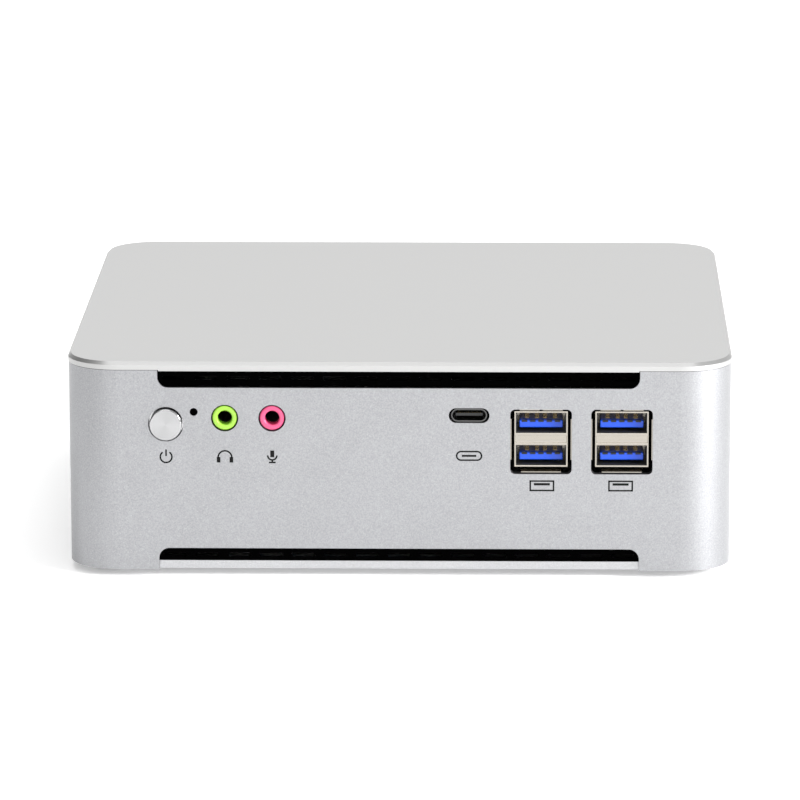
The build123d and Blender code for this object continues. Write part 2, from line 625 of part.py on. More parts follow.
# Plate on the far side of the board that the heat sink's screws pull against
with BuildPart() as sink_backplate:
    with BuildSketch(Plane.XY.offset(BOARD_TOP)):
        with Locations((COOLER_X, MID_Y)):
            RectangleRounded(BACKPLATE_SIZE, BACKPLATE_SIZE, BACKPLATE_ROUNDING)
            Rectangle(BACKPLATE_WINDOW, BACKPLATE_WINDOW, mode=Mode.SUBTRACT)
    extrude(amount=BACKPLATE_THICKNESS)
    with BuildSketch(Plane.XY.offset(BOARD_TOP)):
        with Locations((COOLER_X, MID_Y)):
            with GridLocations(SINK_SCREW_SPACING, SINK_SCREW_SPACING, 2, 2):
                Circle(SINK_SCREW_DIAMETER)
    extrude(amount=2 * BACKPLATE_THICKNESS)
    with Locations((COOLER_X, MID_Y, BOARD_TOP + 2 * BACKPLATE_THICKNESS)):
        with GridLocations(SINK_SCREW_SPACING, SINK_SCREW_SPACING, 2, 2):
            Hole(SINK_SCREW_DIAMETER / 2, depth=2 * BACKPLATE_THICKNESS)
sink_backplate.part.label = "sink_backplate"
export_step(sink_backplate.part, "parts/sink_backplate.step")

with BuildPart() as sink_screws:
    with BuildSketch(Plane.XY.offset(SINK_UNDERSIDE)):
        with Locations((COOLER_X, MID_Y)):
            with GridLocations(SINK_SCREW_SPACING, SINK_SCREW_SPACING, 2, 2):
                Circle(SINK_SCREW_DIAMETER / 2 - THREAD_GAP)
    extrude(amount=BOARD_TOP + 2 * BACKPLATE_THICKNESS - SINK_UNDERSIDE)
    with BuildSketch(Plane.XY.offset(SINK_UNDERSIDE)):
        with Locations((COOLER_X, MID_Y)):
            with GridLocations(SINK_SCREW_SPACING, SINK_SCREW_SPACING, 2, 2):
                Circle(SINK_SCREW_HEAD / 2)
    extrude(amount=-SINK_SCREW_HEAD_HEIGHT)
sink_screws.part.label = "sink_screws"
export_step(sink_screws.part, "parts/sink_screws.step")

# Fan housing: a square frame round the rotor. Four struts at the top carry the motor's fixed half.
with BuildPart() as fan_housing:
    with BuildSketch(Plane.XY.offset(FAN_UNDERSIDE)):
        with Locations((COOLER_X, MID_Y)):
            RectangleRounded(COOLER_SIZE, COOLER_SIZE, FAN_ROUNDING)
            Circle(FAN_BORE / 2, mode=Mode.SUBTRACT)
            with GridLocations(FAN_HOLE_SPACING, FAN_HOLE_SPACING, 2, 2):
                Circle(FAN_SCREW_DIAMETER / 2 + SCREW_HOLE_GAP, mode=Mode.SUBTRACT)
    extrude(amount=FAN_HEIGHT)
    with BuildSketch(Plane.XY.offset(FAN_TOP)):
        with Locations((COOLER_X, MID_Y)):
            with Locations((0, 0, 0), Location((0, 0, 0), (0, 0, 90))):
                Rectangle(FAN_BORE + FAN_STRUT[0] / 2, FAN_STRUT[0])
            Circle(FAN_MOUNT / 2)
    extrude(amount=-FAN_STRUT[1])
    with BuildSketch(Plane.XY.offset(FAN_TOP - FAN_STRUT[1])):
        with Locations((COOLER_X, MID_Y)):
            Circle(FAN_STATOR / 2)
    extrude(amount=-(FAN_HUB_HEIGHT - FAN_HUB_WALL - 2 * FAN_HUB_GAP))
    with Locations(hanging(COOLER_X, MID_Y, FAN_UNDERSIDE)):
        Hole(FAN_SHAFT / 2 + SLIDE_GAP, depth=FAN_HEIGHT - FAN_STRUT[1] / 2)
fan_housing.part.label = "fan_housing"
export_step(fan_housing.part, "parts/fan_housing.step")

# Fan rotor: a cup over the motor, the shaft in its middle and pitched blades round it
ROTOR_TOP = FAN_TOP - FAN_STRUT[1] - FAN_HUB_GAP
ROTOR_UNDERSIDE = ROTOR_TOP - FAN_HUB_HEIGHT
BLADE_START = FAN_HUB / 2 - FAN_BLADE_ROOT
with BuildPart() as fan_rotor:
    with BuildSketch(Plane.XY.offset(ROTOR_UNDERSIDE)):
        with Locations((COOLER_X, MID_Y)):
            Circle(FAN_HUB / 2)
    extrude(amount=FAN_HUB_HEIGHT)
    fillet(fan_rotor.faces().sort_by(Axis.Z)[0].edges(), FAN_HUB_WALL / 2)
    with BuildSketch(Plane.XY.offset(ROTOR_TOP)):
        with Locations((COOLER_X, MID_Y)):
            Circle(FAN_HUB / 2 - FAN_HUB_WALL)
            Circle(FAN_SHAFT / 2, mode=Mode.SUBTRACT)
    extrude(amount=-(FAN_HUB_HEIGHT - FAN_HUB_WALL), mode=Mode.SUBTRACT)
    for blade in range(FAN_BLADES):
        outwards = Vector(1, 0, 0).rotate(Axis.Z, 360 * blade / FAN_BLADES)
        along = outwards.cross(Vector(0, 0, 1)).rotate(Axis((0, 0, 0), outwards), FAN_BLADE_PITCH)
        middle = Vector(COOLER_X, MID_Y, (ROTOR_TOP + ROTOR_UNDERSIDE) / 2)
        with BuildSketch(Plane(origin=middle + outwards * BLADE_START, x_dir=along, z_dir=outwards)):
            Rectangle(FAN_BLADE_CHORD, FAN_BLADE_THICKNESS)
        extrude(amount=FAN_TIP_RADIUS - BLADE_START)
fan_rotor.part.label = "fan_rotor"
export_step(fan_rotor.part, "parts/fan_rotor.step")

with BuildPart() as fan_screws:
    with BuildSketch(Plane.XY.offset(FAN_UNDERSIDE)):
        with Locations((COOLER_X, MID_Y)):
            with GridLocations(FAN_HOLE_SPACING, FAN_HOLE_SPACING, 2, 2):
                Circle(FAN_SCREW_DIAMETER / 2 - THREAD_GAP)
    extrude(amount=FAN_HEIGHT + FAN_SCREW_GRIP)
    with BuildSketch(Plane.XY.offset(FAN_UNDERSIDE)):
        with Locations((COOLER_X, MID_Y)):
            with GridLocations(FAN_HOLE_SPACING, FAN_HOLE_SPACING, 2, 2):
                Circle(FAN_SCREW_HEAD / 2)
    extrude(amount=-FAN_SCREW_HEAD_HEIGHT)
fan_screws.part.label = "fan_screws"
export_step(fan_screws.part, "parts/fan_screws.step")

# Fan lead, from the housing's rear side round to its plug under the board
HEADER_X, HEADER_Y = HEADER_PLACE[0], MID_Y + HEADER_PLACE[1]
PLUG_TOP = BOARD_UNDER - HEADER_SIZE[2]
PLUG_UNDERSIDE = PLUG_TOP - PLUG_SIZE[2]
LEAD_START_Y = MID_Y + COOLER_SIZE / 2
LEAD_Z = FAN_UNDERSIDE + FAN_HEIGHT / 2
with BuildPart() as fan_lead:
    with BuildLine() as lead_path:
        FilletPolyline(
            (HEADER_X - FAN_LEAD_RUN, LEAD_START_Y, LEAD_Z),
            (HEADER_X - FAN_LEAD_RUN, HEADER_Y, LEAD_Z),
            (HEADER_X, HEADER_Y, LEAD_Z),
            (HEADER_X, HEADER_Y, PLUG_UNDERSIDE),
            radius=FAN_LEAD_BEND,
        )
    with BuildSketch(lead_path.line ^ 0):
        Circle(FAN_LEAD_DIAMETER / 2)
    sweep()
fan_lead.part.label = "fan_lead"
export_step(fan_lead.part, "parts/fan_lead.step")

with BuildPart() as fan_header:
    with BuildSketch(Plane.XY.offset(BOARD_UNDER)):
        with Locations((HEADER_X, HEADER_Y)):
            Rectangle(HEADER_SIZE[0], HEADER_SIZE[1])
    extrude(amount=-HEADER_SIZE[2])
fan_header.part.label = "fan_header"
export_step(fan_header.part, "parts/fan_header.step")

with BuildPart() as fan_plug:
    with BuildSketch(Plane.XY.offset(PLUG_TOP)):
        with Locations((HEADER_X, HEADER_Y)):
            Rectangle(PLUG_SIZE[0], PLUG_SIZE[1])
    extrude(amount=-PLUG_SIZE[2])
    chamfer(fan_plug.edges().filter_by(Axis.Z), PLUG_CHAMFER)
fan_plug.part.label = "fan_plug"
export_step(fan_plug.part, "parts/fan_plug.step")

# ---- memory ----

# Two sockets side by side under the board. Each card slides in from behind, and a sprung latch at each
# end hooks under it. A latch turns outwards on its pin to let the card go.
CARD_TOP = BOARD_UNDER - MEMORY_CARD_DROP
CARD_UNDERSIDE = CARD_TOP - MEMORY_CARD[2]
LATCH_X = MEMORY_CARD[0] / 2 + FIT_GAP + LATCH_EYE / 2 + SLIDE_GAP
LATCH_TOP = BOARD_UNDER - MEMORY_TAB_THICKNESS - SLIDE_GAP
LATCH_HEIGHT = MEMORY_SOCKET[2] - MEMORY_TAB_THICKNESS - 2 * SLIDE_GAP
for name, place in MEMORY_YS.items():
    socket_y = MID_Y + place
    card_y = socket_y + MEMORY_SOCKET[1] - CARD_EDGE
    with BuildPart() as memory_socket:
        with BuildSketch(Plane.XY.offset(BOARD_UNDER)):
            with Locations((MEMORY_X, socket_y + MEMORY_SOCKET[1] / 2)):
                Rectangle(MEMORY_SOCKET[0], MEMORY_SOCKET[1])
            with Locations((MEMORY_X, socket_y + (MEMORY_SOCKET[1] + MEMORY_ARM_END) / 2)):
                with GridLocations(MEMORY_SOCKET[0] - MEMORY_ARM_WIDTH, 0, 2, 1):
                    Rectangle(MEMORY_ARM_WIDTH, MEMORY_ARM_END - MEMORY_SOCKET[1])
        extrude(amount=-MEMORY_SOCKET[2])
        with BuildSketch(Plane.XY.offset(BOARD_UNDER)):
            with Locations((MEMORY_X, socket_y + LATCH_PIVOT_Y)):
                with GridLocations(2 * LATCH_X, 0, 2, 1):
                    Rectangle(LATCH_EYE, 2 * (LATCH_PIVOT_Y - MEMORY_ARM_END))
        extrude(amount=-MEMORY_TAB_THICKNESS)
        with BuildSketch(Plane.XY.offset(BOARD_UNDER)):
            with Locations((MEMORY_X, socket_y + LATCH_PIVOT_Y)):
                with GridLocations(2 * LATCH_X, 0, 2, 1):
                    Circle(LATCH_PIN / 2)
        extrude(amount=-MEMORY_SOCKET[2])
        with BuildSketch(Plane.XY.offset(CARD_TOP + FIT_GAP)):
            with Locations((MEMORY_X, card_y - FIT_GAP + CARD_EDGE)):
                Rectangle(MEMORY_CARD[0] + 2 * FIT_GAP, 2 * CARD_EDGE)
        extrude(amount=-(MEMORY_CARD[2] + 2 * FIT_GAP), mode=Mode.SUBTRACT)
    memory_socket.part.label = f"{name}_memory_socket"
    export_step(memory_socket.part, f"parts/{name}_memory_socket.step")

    with BuildPart() as memory_card:
        with BuildSketch(Plane.XY.offset(CARD_TOP)):
            with Locations((MEMORY_X, card_y + MEMORY_CARD[1] / 2)):
                Rectangle(MEMORY_CARD[0], MEMORY_CARD[1])
        extrude(amount=-MEMORY_CARD[2])
        with BuildSketch(Plane.XY.offset(CARD_TOP + MEMORY_CHIP[2])):
            with Locations((MEMORY_X, card_y + MEMORY_CARD[1] / 2)):
                with GridLocations(MEMORY_CHIP_PITCH, 0, MEMORY_CHIP_COUNT, 1):
                    Rectangle(MEMORY_CHIP[0], MEMORY_CHIP[1])
        extrude(amount=-(MEMORY_CARD[2] + 2 * MEMORY_CHIP[2]))
    memory_card.part.label = f"{name}_memory_card"
    export_step(memory_card.part, f"parts/{name}_memory_card.step")

    for side, sign in (("left", -1), ("right", 1)):
        pivot = (MEMORY_X + sign * LATCH_X, socket_y + LATCH_PIVOT_Y)
        blade_length = LATCH_END_Y - LATCH_PIVOT_Y
        with BuildPart() as latch:
            with BuildSketch(Plane.XY.offset(LATCH_TOP)):
                with Locations(pivot):
                    Circle(LATCH_EYE / 2)
                with Locations((pivot[0], pivot[1] + blade_length / 2)):
                    Rectangle(LATCH_THICKNESS, blade_length)
                with Locations(pivot):
                    Circle(LATCH_PIN / 2 + FIT_GAP, mode=Mode.SUBTRACT)
            extrude(amount=-LATCH_HEIGHT)
            with BuildSketch(Plane.XY.offset(CARD_UNDERSIDE - FIT_GAP)):
                hook_y = pivot[1] + blade_length - LATCH_HOOK_LENGTH / 2
                with Locations((pivot[0] - sign * LATCH_HOOK / 2, hook_y)):
                    Rectangle(LATCH_HOOK, LATCH_HOOK_LENGTH)
            extrude(amount=-LATCH_THICKNESS)
        latch.part.label = f"{name}_memory_latch_{side}"
        export_step(latch.part, f"parts/{name}_memory_latch_{side}.step")

# ---- plug-in cards ----

# Solid-state drive and wireless card: one end in a socket, the other screwed to a short post
PLUG_CARDS = {
    "solid_state_drive": (DRIVE_END_X, MID_Y + DRIVE_Y, DRIVE_LENGTH, DRIVE_CHIPS),
    "wireless_card": (WIRELESS_END_X, MID_Y + WIRELESS_Y, WIRELESS_LENGTH, WIRELESS_CHIPS),
}
PLUG_CARD_TOP = BOARD_UNDER - CARD_DROP
PLUG_CARD_UNDERSIDE = PLUG_CARD_TOP - CARD_THICKNESS
for name, (end_x, middle_y, length, chips) in PLUG_CARDS.items():
    with BuildPart() as plug_card:
        with BuildSketch(Plane.XY.offset(PLUG_CARD_TOP)):
            with Locations((end_x + length / 2, middle_y)):
                Rectangle(length, CARD_WIDTH)
            with Locations((end_x, middle_y)):
                Circle(CARD_SCREW / 2 + FIT_GAP, mode=Mode.SUBTRACT)
        extrude(amount=-CARD_THICKNESS)
        for along, chip_length, chip_width in chips:
            with BuildSketch(Plane.XY.offset(PLUG_CARD_UNDERSIDE)):
                with Locations((end_x + along, middle_y)):
                    Rectangle(chip_length, chip_width)
            extrude(amount=-CHIP_HEIGHT)
    plug_card.part.label = name
    export_step(plug_card.part, f"parts/{name}.step")

    with BuildPart() as card_socket:
        with BuildSketch(Plane.XY.offset(BOARD_UNDER)):
            with Locations((end_x + length - CARD_EDGE + CARD_SOCKET[0] / 2, middle_y)):
                Rectangle(CARD_SOCKET[0], CARD_SOCKET[1])
        extrude(amount=-CARD_SOCKET[2])
        with BuildSketch(Plane.XY.offset(PLUG_CARD_TOP + FIT_GAP)):
            with Locations((end_x + length + FIT_GAP - CARD_EDGE, middle_y)):
                Rectangle(2 * CARD_EDGE, CARD_WIDTH + 2 * FIT_GAP)
        extrude(amount=-(CARD_THICKNESS + 2 * FIT_GAP), mode=Mode.SUBTRACT)
    card_socket.part.label = f"{name}_socket"
    export_step(card_socket.part, f"parts/{name}_socket.step")

CARD_POST_PLACES = [(end_x, middle_y) for end_x, middle_y, length, chips in PLUG_CARDS.values()]
with BuildPart() as card_posts:
    with BuildSketch(Plane.XY.offset(BOARD_UNDER)):
        with Locations(*CARD_POST_PLACES):
            Circle(CARD_POST / 2)
            Circle(CARD_SCREW / 2, mode=Mode.SUBTRACT)
    extrude(amount=-CARD_DROP)
card_posts.part.label = "card_posts"
export_step(card_posts.part, "parts/card_posts.step")

with BuildPart() as card_screws:
    with BuildSketch(Plane.XY.offset(BOARD_UNDER)):
        with Locations(*CARD_POST_PLACES):
            Circle(CARD_SCREW / 2 - THREAD_GAP)
    extrude(amount=-(CARD_DROP + CARD_THICKNESS))
    with BuildSketch(Plane.XY.offset(PLUG_CARD_UNDERSIDE)):
        with Locations(*CARD_POST_PLACES):
            Circle(CARD_SCREW_HEAD / 2)
    extrude(amount=-CARD_SCREW_HEAD_HEIGHT)
card_screws.part.label = "card_screws"
export_step(card_screws.part, "parts/card_screws.step")

# ---- aerials ----

# Two threaded jacks through the rear wall, each with a nut outside and a thin lead to the wireless card
AERIAL_INNER_END = INSIDE_BACK - AERIAL_INNER_LENGTH
with BuildPart() as aerial_jacks:
    with BuildSketch(BACK_FACE.offset(AERIAL_STICKOUT)):
        with Locations(*[(-x, AERIAL_HEIGHT) for x in AERIAL_XS]):
            Circle(AERIAL_THREAD / 2)
    extrude(amount=AERIAL_NUT_THICKNESS - AERIAL_STICKOUT)
    chamfer(aerial_jacks.faces().sort_by(Axis.Y)[-len(AERIAL_XS):].edges(), AERIAL_CHAMFER)
    # Inside the nut and the wall the thread is drawn at its root
    with BuildSketch(BACK_FACE.offset(AERIAL_NUT_THICKNESS)):
        with Locations(*[(-x, AERIAL_HEIGHT) for x in AERIAL_XS]):
            Circle(AERIAL_ROOT / 2)
    extrude(amount=-(AERIAL_NUT_THICKNESS + WALL))
    with BuildSketch(BACK_FACE.offset(-WALL)):
        with Locations(*[(-x, AERIAL_HEIGHT) for x in AERIAL_XS]):
            RegularPolygon(AERIAL_FLATS / 2, 6, major_radius=False)
    extrude(amount=-AERIAL_NUT_THICKNESS)
    with BuildSketch(BACK_FACE.offset(-WALL)):
        with Locations(*[(-x, AERIAL_HEIGHT) for x in AERIAL_XS]):
            Circle(AERIAL_TAIL / 2)
    extrude(amount=-AERIAL_INNER_LENGTH)
    with BuildSketch(BACK_FACE.offset(AERIAL_STICKOUT)):
        with Locations(*[(-x, AERIAL_HEIGHT) for x in AERIAL_XS]):
            Circle(AERIAL_BORE / 2)
            Circle(AERIAL_PIN / 2, mode=Mode.SUBTRACT)
    extrude(amount=-AERIAL_BORE_DEPTH, mode=Mode.SUBTRACT)
aerial_jacks.part.label = "aerial_jacks"
export_step(aerial_jacks.part, "parts/aerial_jacks.step")

with BuildPart() as aerial_nuts:
    with BuildSketch(BACK_FACE):
        with Locations(*[(-x, AERIAL_HEIGHT) for x in AERIAL_XS]):
            RegularPolygon(AERIAL_FLATS / 2, 6, major_radius=False)
            Circle(AERIAL_ROOT / 2 + THREAD_GAP, mode=Mode.SUBTRACT)
    extrude(amount=AERIAL_NUT_THICKNESS)
aerial_nuts.part.label = "aerial_nuts"
export_step(aerial_nuts.part, "parts/aerial_nuts.step")

for name, jack_x, sign in (("left", AERIAL_XS[0], -1), ("right", AERIAL_XS[1], 1)):
    start_x = WIRELESS_END_X + LEAD_START_X
    start_y = MID_Y + WIRELESS_Y + sign * LEAD_SPREAD / 2
    start_z = PLUG_CARD_UNDERSIDE - LEAD_PLUG[1]
    with BuildPart() as aerial_lead:
        with BuildSketch(Plane.XY.offset(PLUG_CARD_UNDERSIDE)):
            with Locations((start_x, start_y)):
                Circle(LEAD_PLUG[0] / 2)
        extrude(amount=-LEAD_PLUG[1])
        with BuildLine() as lead_path:
            FilletPolyline(
                (start_x, start_y, start_z),
                (start_x, start_y, start_z - LEAD_DROP),
                (jack_x, (start_y + 3 * AERIAL_INNER_END) / 4, AERIAL_HEIGHT),
                (jack_x, AERIAL_INNER_END, AERIAL_HEIGHT),
                radius=LEAD_BEND,
            )
        with BuildSketch(lead_path.line ^ 0):
            Circle(LEAD_DIAMETER / 2)
        sweep()
    aerial_lead.part.label = f"{name}_aerial_lead"
    export_step(aerial_lead.part, f"parts/{name}_aerial_lead.step")

# ---- front panel ----

# Power button: a turned cap with a flange behind the wall and a stem that presses the switch
BUTTON_HEIGHT = FRAME_TOP - BUTTON_DROP
BUTTON_BACK = WALL + SLIDE_GAP
STEM_END = BUTTON_BACK + BUTTON_FLANGE_THICKNESS + BUTTON_STEM_LENGTH
with BuildPart() as power_button:
    with BuildSketch(FRONT_FACE.offset(BUTTON_STICKOUT)):
        with Locations((BUTTON_X, BUTTON_HEIGHT)):
            Circle(BUTTON_DIAMETER / 2)
    extrude(amount=-(BUTTON_STICKOUT + BUTTON_BACK))
    fillet(power_button.faces().sort_by(Axis.Y)[0].edges(), BUTTON_ROUNDING)
    with BuildSketch(FRONT_FACE.offset(-BUTTON_BACK)):
        with Locations((BUTTON_X, BUTTON_HEIGHT)):
            Circle(BUTTON_FLANGE / 2)
    extrude(amount=-BUTTON_FLANGE_THICKNESS)
    with BuildSketch(FRONT_FACE.offset(-BUTTON_BACK)):
        with Locations((BUTTON_X, BUTTON_HEIGHT)):
            Circle(BUTTON_STEM / 2)
    extrude(amount=-(STEM_END - BUTTON_BACK))
power_button.part.label = "power_button"
export_step(power_button.part, "parts/power_button.step")

with BuildPart() as switch_plunger:
    with BuildSketch(FRONT_FACE.offset(-STEM_END)):
        with Locations((BUTTON_X, BUTTON_HEIGHT)):
            Circle(PLUNGER_DIAMETER / 2)
    extrude(amount=-PLUNGER_LENGTH)
switch_plunger.part.label = "switch_plunger"
export_step(switch_plunger.part, "parts/switch_plunger.step")

SWITCH_LOW = BUTTON_HEIGHT - SWITCH_WIDTH / 2
SWITCH_BORE_DEPTH = STEM_END + PLUNGER_LENGTH + BUTTON_TRAVEL + SLIDE_GAP - SWITCH_FRONT
with BuildPart() as power_switch:
    with BuildSketch(FRONT_FACE.offset(-SWITCH_FRONT)):
        with Locations((BUTTON_X, (BOARD_UNDER + SWITCH_LOW) / 2)):
            Rectangle(SWITCH_WIDTH, BOARD_UNDER - SWITCH_LOW)
    extrude(amount=-SWITCH_DEPTH)
    with BuildSketch(FRONT_FACE.offset(-SWITCH_FRONT)):
        with Locations((BUTTON_X, BUTTON_HEIGHT)):
            Circle(PLUNGER_DIAMETER / 2 + FIT_GAP)
    extrude(amount=-SWITCH_BORE_DEPTH, mode=Mode.SUBTRACT)
power_switch.part.label = "power_switch"
export_step(power_switch.part, "parts/power_switch.step")

# Clear rod that brings the light of a lamp on the board to the front
with BuildPart() as light_pipe:
    with BuildSketch(FRONT_FACE.offset(-LIGHT_SETBACK)):
        with Locations((LIGHT_X, FRAME_TOP - LIGHT_DROP)):
            Circle(LIGHT_HOLE / 2 - FIT_GAP)
    extrude(amount=-LIGHT_PIPE_LENGTH)
light_pipe.part.label = "light_pipe"
export_step(light_pipe.part, "parts/light_pipe.step")

# Audio jacks: a coloured barrel in the panel and a black body behind it, with one bore through both
JACK_LOW = JACK_HEIGHT - JACK_BARREL / 2
with BuildPart() as audio_jacks:
    with BuildSketch(FRONT_FACE.offset(-(JACK_SETBACK + JACK_BARREL_LENGTH))):
        with Locations(*[(x, (BOARD_UNDER + JACK_LOW) / 2) for x in JACK_XS.values()]):
            Rectangle(JACK_BODY_WIDTH, BOARD_UNDER - JACK_LOW)
    extrude(amount=-JACK_BODY_LENGTH)
    with BuildSketch(FRONT_FACE.offset(-JACK_SETBACK)):
        with Locations(*[(x, JACK_HEIGHT) for x in JACK_XS.values()]):
            Circle(JACK_BORE / 2)
    extrude(amount=-JACK_BORE_DEPTH, mode=Mode.SUBTRACT)
audio_jacks.part.label = "audio_jacks"
export_step(audio_jacks.part, "parts/audio_jacks.step")

for colour, x in JACK_XS.items():
    with BuildPart() as jack_barrel:
        with BuildSketch(FRONT_FACE.offset(-JACK_SETBACK)):
            with Locations((x, JACK_HEIGHT)):
                Circle(JACK_BARREL / 2)
                Circle(JACK_BORE / 2, mode=Mode.SUBTRACT)
        extrude(amount=-JACK_BARREL_LENGTH)
    jack_barrel.part.label = f"{colour}_jack_barrel"
    export_step(jack_barrel.part, f"parts/{colour}_jack_barrel.step")

# Small reversible port
TYPE_C_INNER = (TYPE_C_SHELL[0] - 2 * TYPE_C_WALL, TYPE_C_SHELL[1] - 2 * TYPE_C_WALL)
with BuildPart() as type_c_shell:
    with BuildSketch(FRONT_FACE.offset(-TYPE_C_SETBACK)):
        with Locations((TYPE_C_X, TYPE_C_HEIGHT)):
            SlotOverall(*TYPE_C_SHELL)
            SlotOverall(*TYPE_C_INNER, mode=Mode.SUBTRACT)
    extrude(amount=-TYPE_C_LENGTH)
type_c_shell.part.label = "type_c_shell"
export_step(type_c_shell.part, "parts/type_c_shell.step")

with BuildPart() as type_c_tongue:
    with BuildSketch(FRONT_FACE.offset(-(TYPE_C_SETBACK + TYPE_C_LENGTH))):
        with Locations((TYPE_C_X, TYPE_C_HEIGHT)):
            SlotOverall(TYPE_C_INNER[0] - 2 * THREAD_GAP, TYPE_C_INNER[1] - 2 * THREAD_GAP)
    extrude(amount=TYPE_C_BLOCK)
    with BuildSketch(FRONT_FACE.offset(-(TYPE_C_SETBACK + TYPE_C_LENGTH))):
        with Locations((TYPE_C_X, TYPE_C_HEIGHT)):
            Rectangle(*TYPE_C_TONGUE)
    extrude(amount=TYPE_C_LENGTH - TYPE_C_TONGUE_SETBACK)
type_c_tongue.part.label = "type_c_tongue"
export_step(type_c_tongue.part, "parts/type_c_tongue.step")

# Double ports, front and rear: a metal shell with two mouths and sprung lips round its front edge, and
# in each mouth a block with a tongue. They hang from the board, so each tongue is low in its mouth.
USB_TONGUE_SHIFT = -USB_CAVITY[1] / 2 + USB_TONGUE_LIFT + USB_TONGUE[1] / 2
for name, face, xs in (("front", FRONT_FACE, USB_XS), ("rear", BACK_FACE, (-REAR_USB_X,))):
    mouth_face = face.offset(-USB_SETBACK)
    stack_places = [(x, USB_MIDDLE) for x in xs]
    with BuildPart() as usb_shells:
        with BuildSketch(mouth_face):
            with Locations(*stack_places):
                Rectangle(*USB_SHELL)
                with GridLocations(0, USB_CAVITY_PITCH, 1, 2):
                    Rectangle(*USB_CAVITY, mode=Mode.SUBTRACT)
        extrude(amount=-USB_LENGTH)
        with BuildSketch(mouth_face):
            with Locations(*[(x, USB_MIDDLE + (USB_LIPS["top"] - USB_LIPS["bottom"]) / 2) for x in xs]):
                Rectangle(
                    USB_SHELL[0] - 2 * USB_LIP_NOTCH, USB_SHELL[1] + USB_LIPS["top"] + USB_LIPS["bottom"]
                )
            with Locations(*stack_places):
                Rectangle(USB_SHELL[0] + 2 * USB_LIPS["side"], USB_SHELL[1] - 2 * USB_LIP_NOTCH)
                Rectangle(USB_SHELL[0] - USB_WALL, USB_SHELL[1] - USB_WALL, mode=Mode.SUBTRACT)
        extrude(amount=-USB_LIP_THICKNESS)
        with BuildSketch(Plane.XY.offset(BOARD_UNDER)):
            step = -1 if face is BACK_FACE else 1
            rail_y = (FRONT if step == 1 else BACK) + step * (USB_SETBACK + USB_LENGTH - USB_RAIL / 2)
            with Locations(*[(step * x, rail_y) for x in xs]):
                with GridLocations(USB_SHELL[0] - USB_WALL, 0, 2, 1):
                    Rectangle(USB_WALL, USB_RAIL)
        extrude(amount=-USB_ABOVE)
    usb_shells.part.label = f"{name}_usb_shells"
    export_step(usb_shells.part, f"parts/{name}_usb_shells.step")

    with BuildPart() as usb_tongues:
        with BuildSketch(mouth_face.offset(-USB_LENGTH)):
            with Locations(*stack_places):
                with GridLocations(0, USB_CAVITY_PITCH, 1, 2):
                    Rectangle(USB_CAVITY[0] - 2 * THREAD_GAP, USB_CAVITY[1] - 2 * THREAD_GAP)
        extrude(amount=USB_BLOCK_LENGTH)
        with BuildSketch(mouth_face.offset(-USB_LENGTH)):
            with Locations(*[(x, USB_MIDDLE + USB_TONGUE_SHIFT) for x in xs]):
                with GridLocations(0, USB_CAVITY_PITCH, 1, 2):
                    Rectangle(*USB_TONGUE)
        extrude(amount=USB_LENGTH - USB_TONGUE_SETBACK)
    usb_tongues.part.label = f"{name}_usb_tongues"
    export_step(usb_tongues.part, f"parts/{name}_usb_tongues.step")

# ---- rear panel ----

# Video ports: flat metal shells, with a tongue on a block in each
VIDEO_INNER = (VIDEO_SHELL[0] - 2 * VIDEO_WALL, VIDEO_SHELL[1] - 2 * VIDEO_WALL)
VIDEO_PLACES = [(-x, VIDEO_HEIGHT) for x in VIDEO_XS]
with BuildPart() as video_port_shells:
    with BuildSketch(BACK_FACE.offset(-VIDEO_SETBACK)):
        with Locations(*VIDEO_PLACES):
            Rectangle(*VIDEO_SHELL)
            Rectangle(*VIDEO_INNER, mode=Mode.SUBTRACT)
    extrude(amount=-VIDEO_LENGTH)
video_port_shells.part.label = "video_port_shells"
export_step(video_port_shells.part, "parts/video_port_shells.step")

with BuildPart() as video_port_tongues:
    with BuildSketch(BACK_FACE.offset(-(VIDEO_SETBACK + VIDEO_LENGTH))):
        with Locations(*VIDEO_PLACES):
            Rectangle(VIDEO_INNER[0] - 2 * THREAD_GAP, VIDEO_INNER[1] - 2 * THREAD_GAP)
    extrude(amount=VIDEO_BLOCK)
    with BuildSketch(BACK_FACE.offset(-(VIDEO_SETBACK + VIDEO_LENGTH))):
        with Locations(*VIDEO_PLACES):
            Rectangle(*VIDEO_TONGUE)
    extrude(amount=VIDEO_LENGTH - VIDEO_TONGUE_SETBACK)
video_port_tongues.part.label = "video_port_tongues"
export_step(video_port_tongues.part, "parts/video_port_tongues.step")

with BuildPart() as network_jacks:
    with BuildSketch(BACK_FACE):
        with Locations(*[(-x, NETWORK_HEIGHT) for x in NETWORK_XS]):
            Rectangle(NETWORK_BODY[0], NETWORK_BODY[1])
    extrude(amount=-NETWORK_BODY[2])
    with BuildSketch(BACK_FACE):
        with Locations(*[(-x, NETWORK_HEIGHT) for x in NETWORK_XS]):
            Rectangle(*NETWORK_MOUTH)
    extrude(amount=-NETWORK_MOUTH_DEPTH, mode=Mode.SUBTRACT)
network_jacks.part.label = "network_jacks"
export_step(network_jacks.part, "parts/network_jacks.step")

